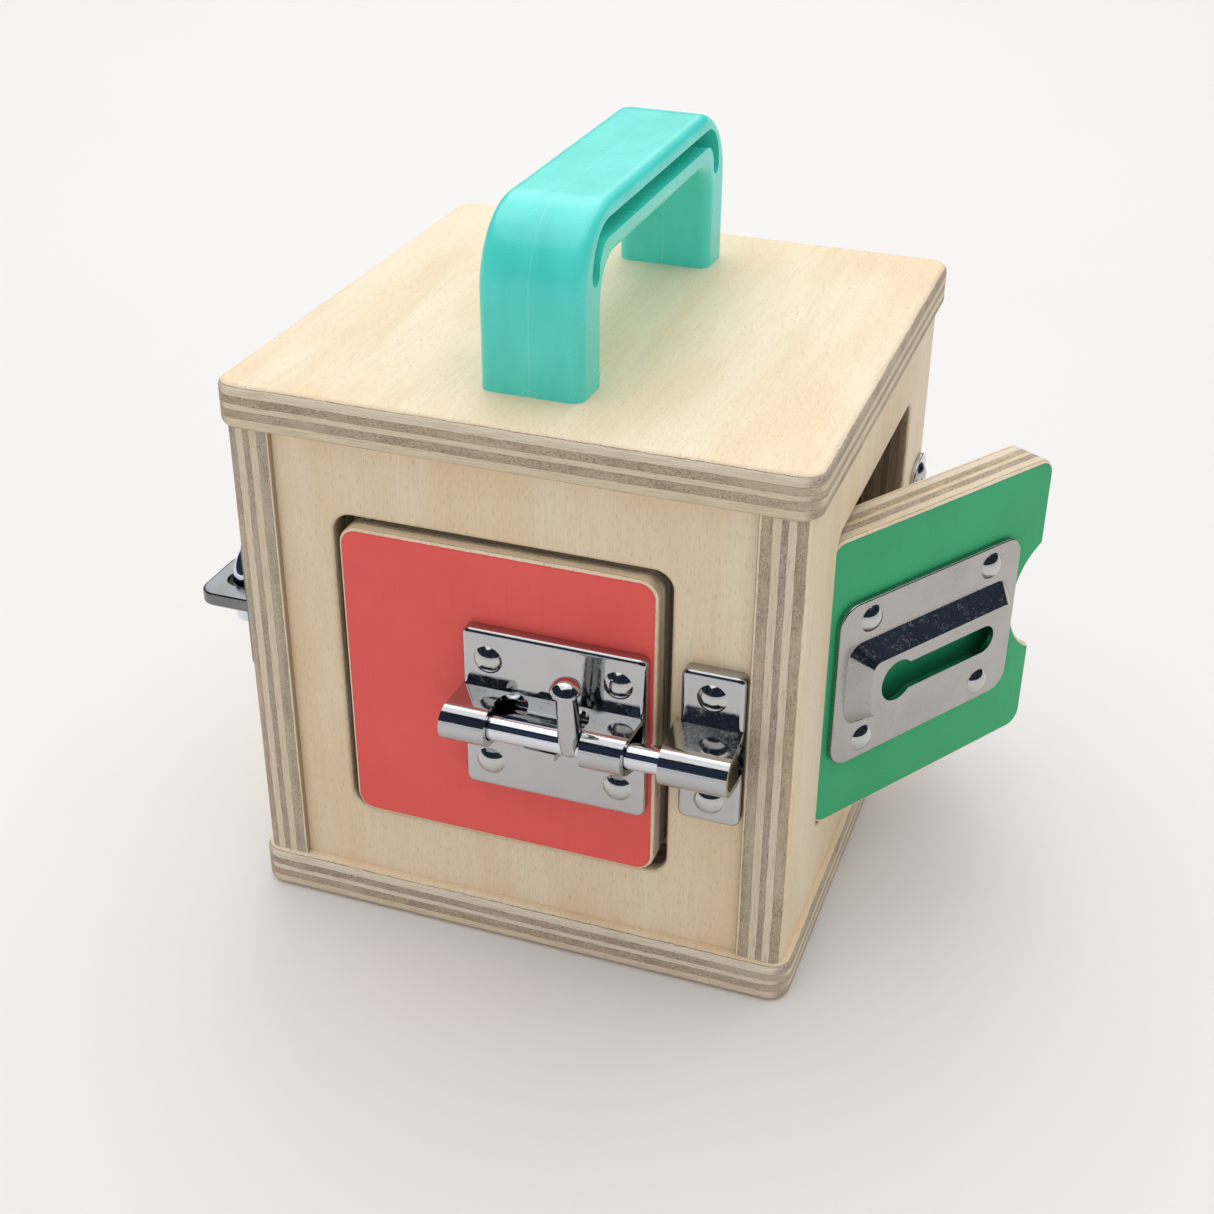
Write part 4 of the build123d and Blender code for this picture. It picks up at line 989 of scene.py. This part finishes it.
# %% The dark surround
CLOTH_RADIUS = 6.0
CLOTH_LOW, CLOTH_FRONT_HIGH, CLOTH_BACK_HIGH = 6, 76, 24
CLOTH_STEPS, CLOTH_SIDES = 8, 48
FRONT_BEARING, FRONT_HALF_ARC, FADE_ARC = -71, 85, 40

material, tree, shader = new_material("dark_cloth")
folds = rise(tree, noise(tree, object_place(tree), 0.9, 3.0, 0.5), 0.4, 0.65)
cloth_tone = mixed(tree, folds, colour(20, 29, 46), colour(58, 76, 104))
feed(tree, shader.inputs, {"Base Color": cloth_tone, "Roughness": 0.9})

points, faces = [], []
for i in range(CLOTH_SIDES):
    bearing = 2 * math.pi * i / CLOTH_SIDES
    off_front = abs((math.degrees(bearing) - FRONT_BEARING + 180) % 360 - 180)
    blend = min(max((off_front - FRONT_HALF_ARC) / FADE_ARC, 0), 1)
    top = CLOTH_FRONT_HIGH + (CLOTH_BACK_HIGH - CLOTH_FRONT_HIGH) * blend
    for j in range(CLOTH_STEPS + 1):
        climb = math.radians(CLOTH_LOW + (top - CLOTH_LOW) * j / CLOTH_STEPS)
        reach, level = CLOTH_RADIUS * math.cos(climb), CLOTH_RADIUS * math.sin(climb)
        points.append((reach * math.cos(bearing), reach * math.sin(bearing), level))
for i in range(CLOTH_SIDES):
    here = i * (CLOTH_STEPS + 1)
    there = (i + 1) % CLOTH_SIDES * (CLOTH_STEPS + 1)
    faces += [(here + j, there + j, there + j + 1, here + j + 1) for j in range(CLOTH_STEPS)]

cloth = staged("dark_surround", points, faces, material)
cloth.visible_camera = False
cloth.visible_diffuse = False
cloth.visible_shadow = False
print("surround up to", CLOTH_FRONT_HIGH, "degrees in front and", CLOTH_BACK_HIGH, "behind")

# %% [markdown]
# A large lamp overhead lights the box about as its colours are written, and a second one behind
# puts a sheen on what faces up. The world beyond the cloth is an even white. It lights the box less
# than it shows in reflections, so the chrome stays crisp and the shade stays deep.

# %% The lamps


def lamp(name, place, aim, size, power):
    """A square soft lamp that points at a place."""
    light = bpy.data.lights.new(name, "AREA")
    light.size = size
    light.energy = power
    made = bpy.data.objects.new(name, light)
    made.location = place
    made.rotation_euler = (Vector(aim) - Vector(place)).to_track_quat("-Z", "Y").to_euler()
    bpy.context.collection.objects.link(made)


lamp("overhead_lamp", place=(-0.2, 0.35, 2.4), aim=(0, 0, 0.1), size=3.6, power=50)
lamp("back_lamp", place=(-0.9, 2.6, 1.8), aim=(0, 0, 0.15), size=2.0, power=12)
print("lamps", [light.name for light in bpy.data.lights])

# %% The world
SKY_TONE = colour(245, 246, 248)
SKY_LIGHT, SKY_SEEN = 0.6, 1.0
world = bpy.data.worlds.new("studio")
bpy.context.scene.world = world
world.use_nodes = True
tree = world.node_tree
ray = node(tree, "ShaderNodeLightPath").outputs
mirrored = maths(tree, "MAXIMUM", ray["Is Glossy Ray"], ray["Is Transmission Ray"])
seen = maths(tree, "MAXIMUM", ray["Is Camera Ray"], mirrored)
strength = maths(tree, "MULTIPLY_ADD", seen, SKY_SEEN - SKY_LIGHT, SKY_LIGHT)
feed(tree, tree.nodes["Background"].inputs, {"Color": SKY_TONE, "Strength": strength})
bpy.context.scene.view_settings.view_transform = "Standard"
print("world lights at", SKY_LIGHT, "and shows at", SKY_SEEN)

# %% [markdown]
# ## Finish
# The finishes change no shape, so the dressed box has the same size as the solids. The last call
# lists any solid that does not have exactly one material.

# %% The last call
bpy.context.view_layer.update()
bare = [solid for solid, piece in frame["nodes"].items() if len(piece.data.materials) != 1]
print("solids without a finish:", bare)
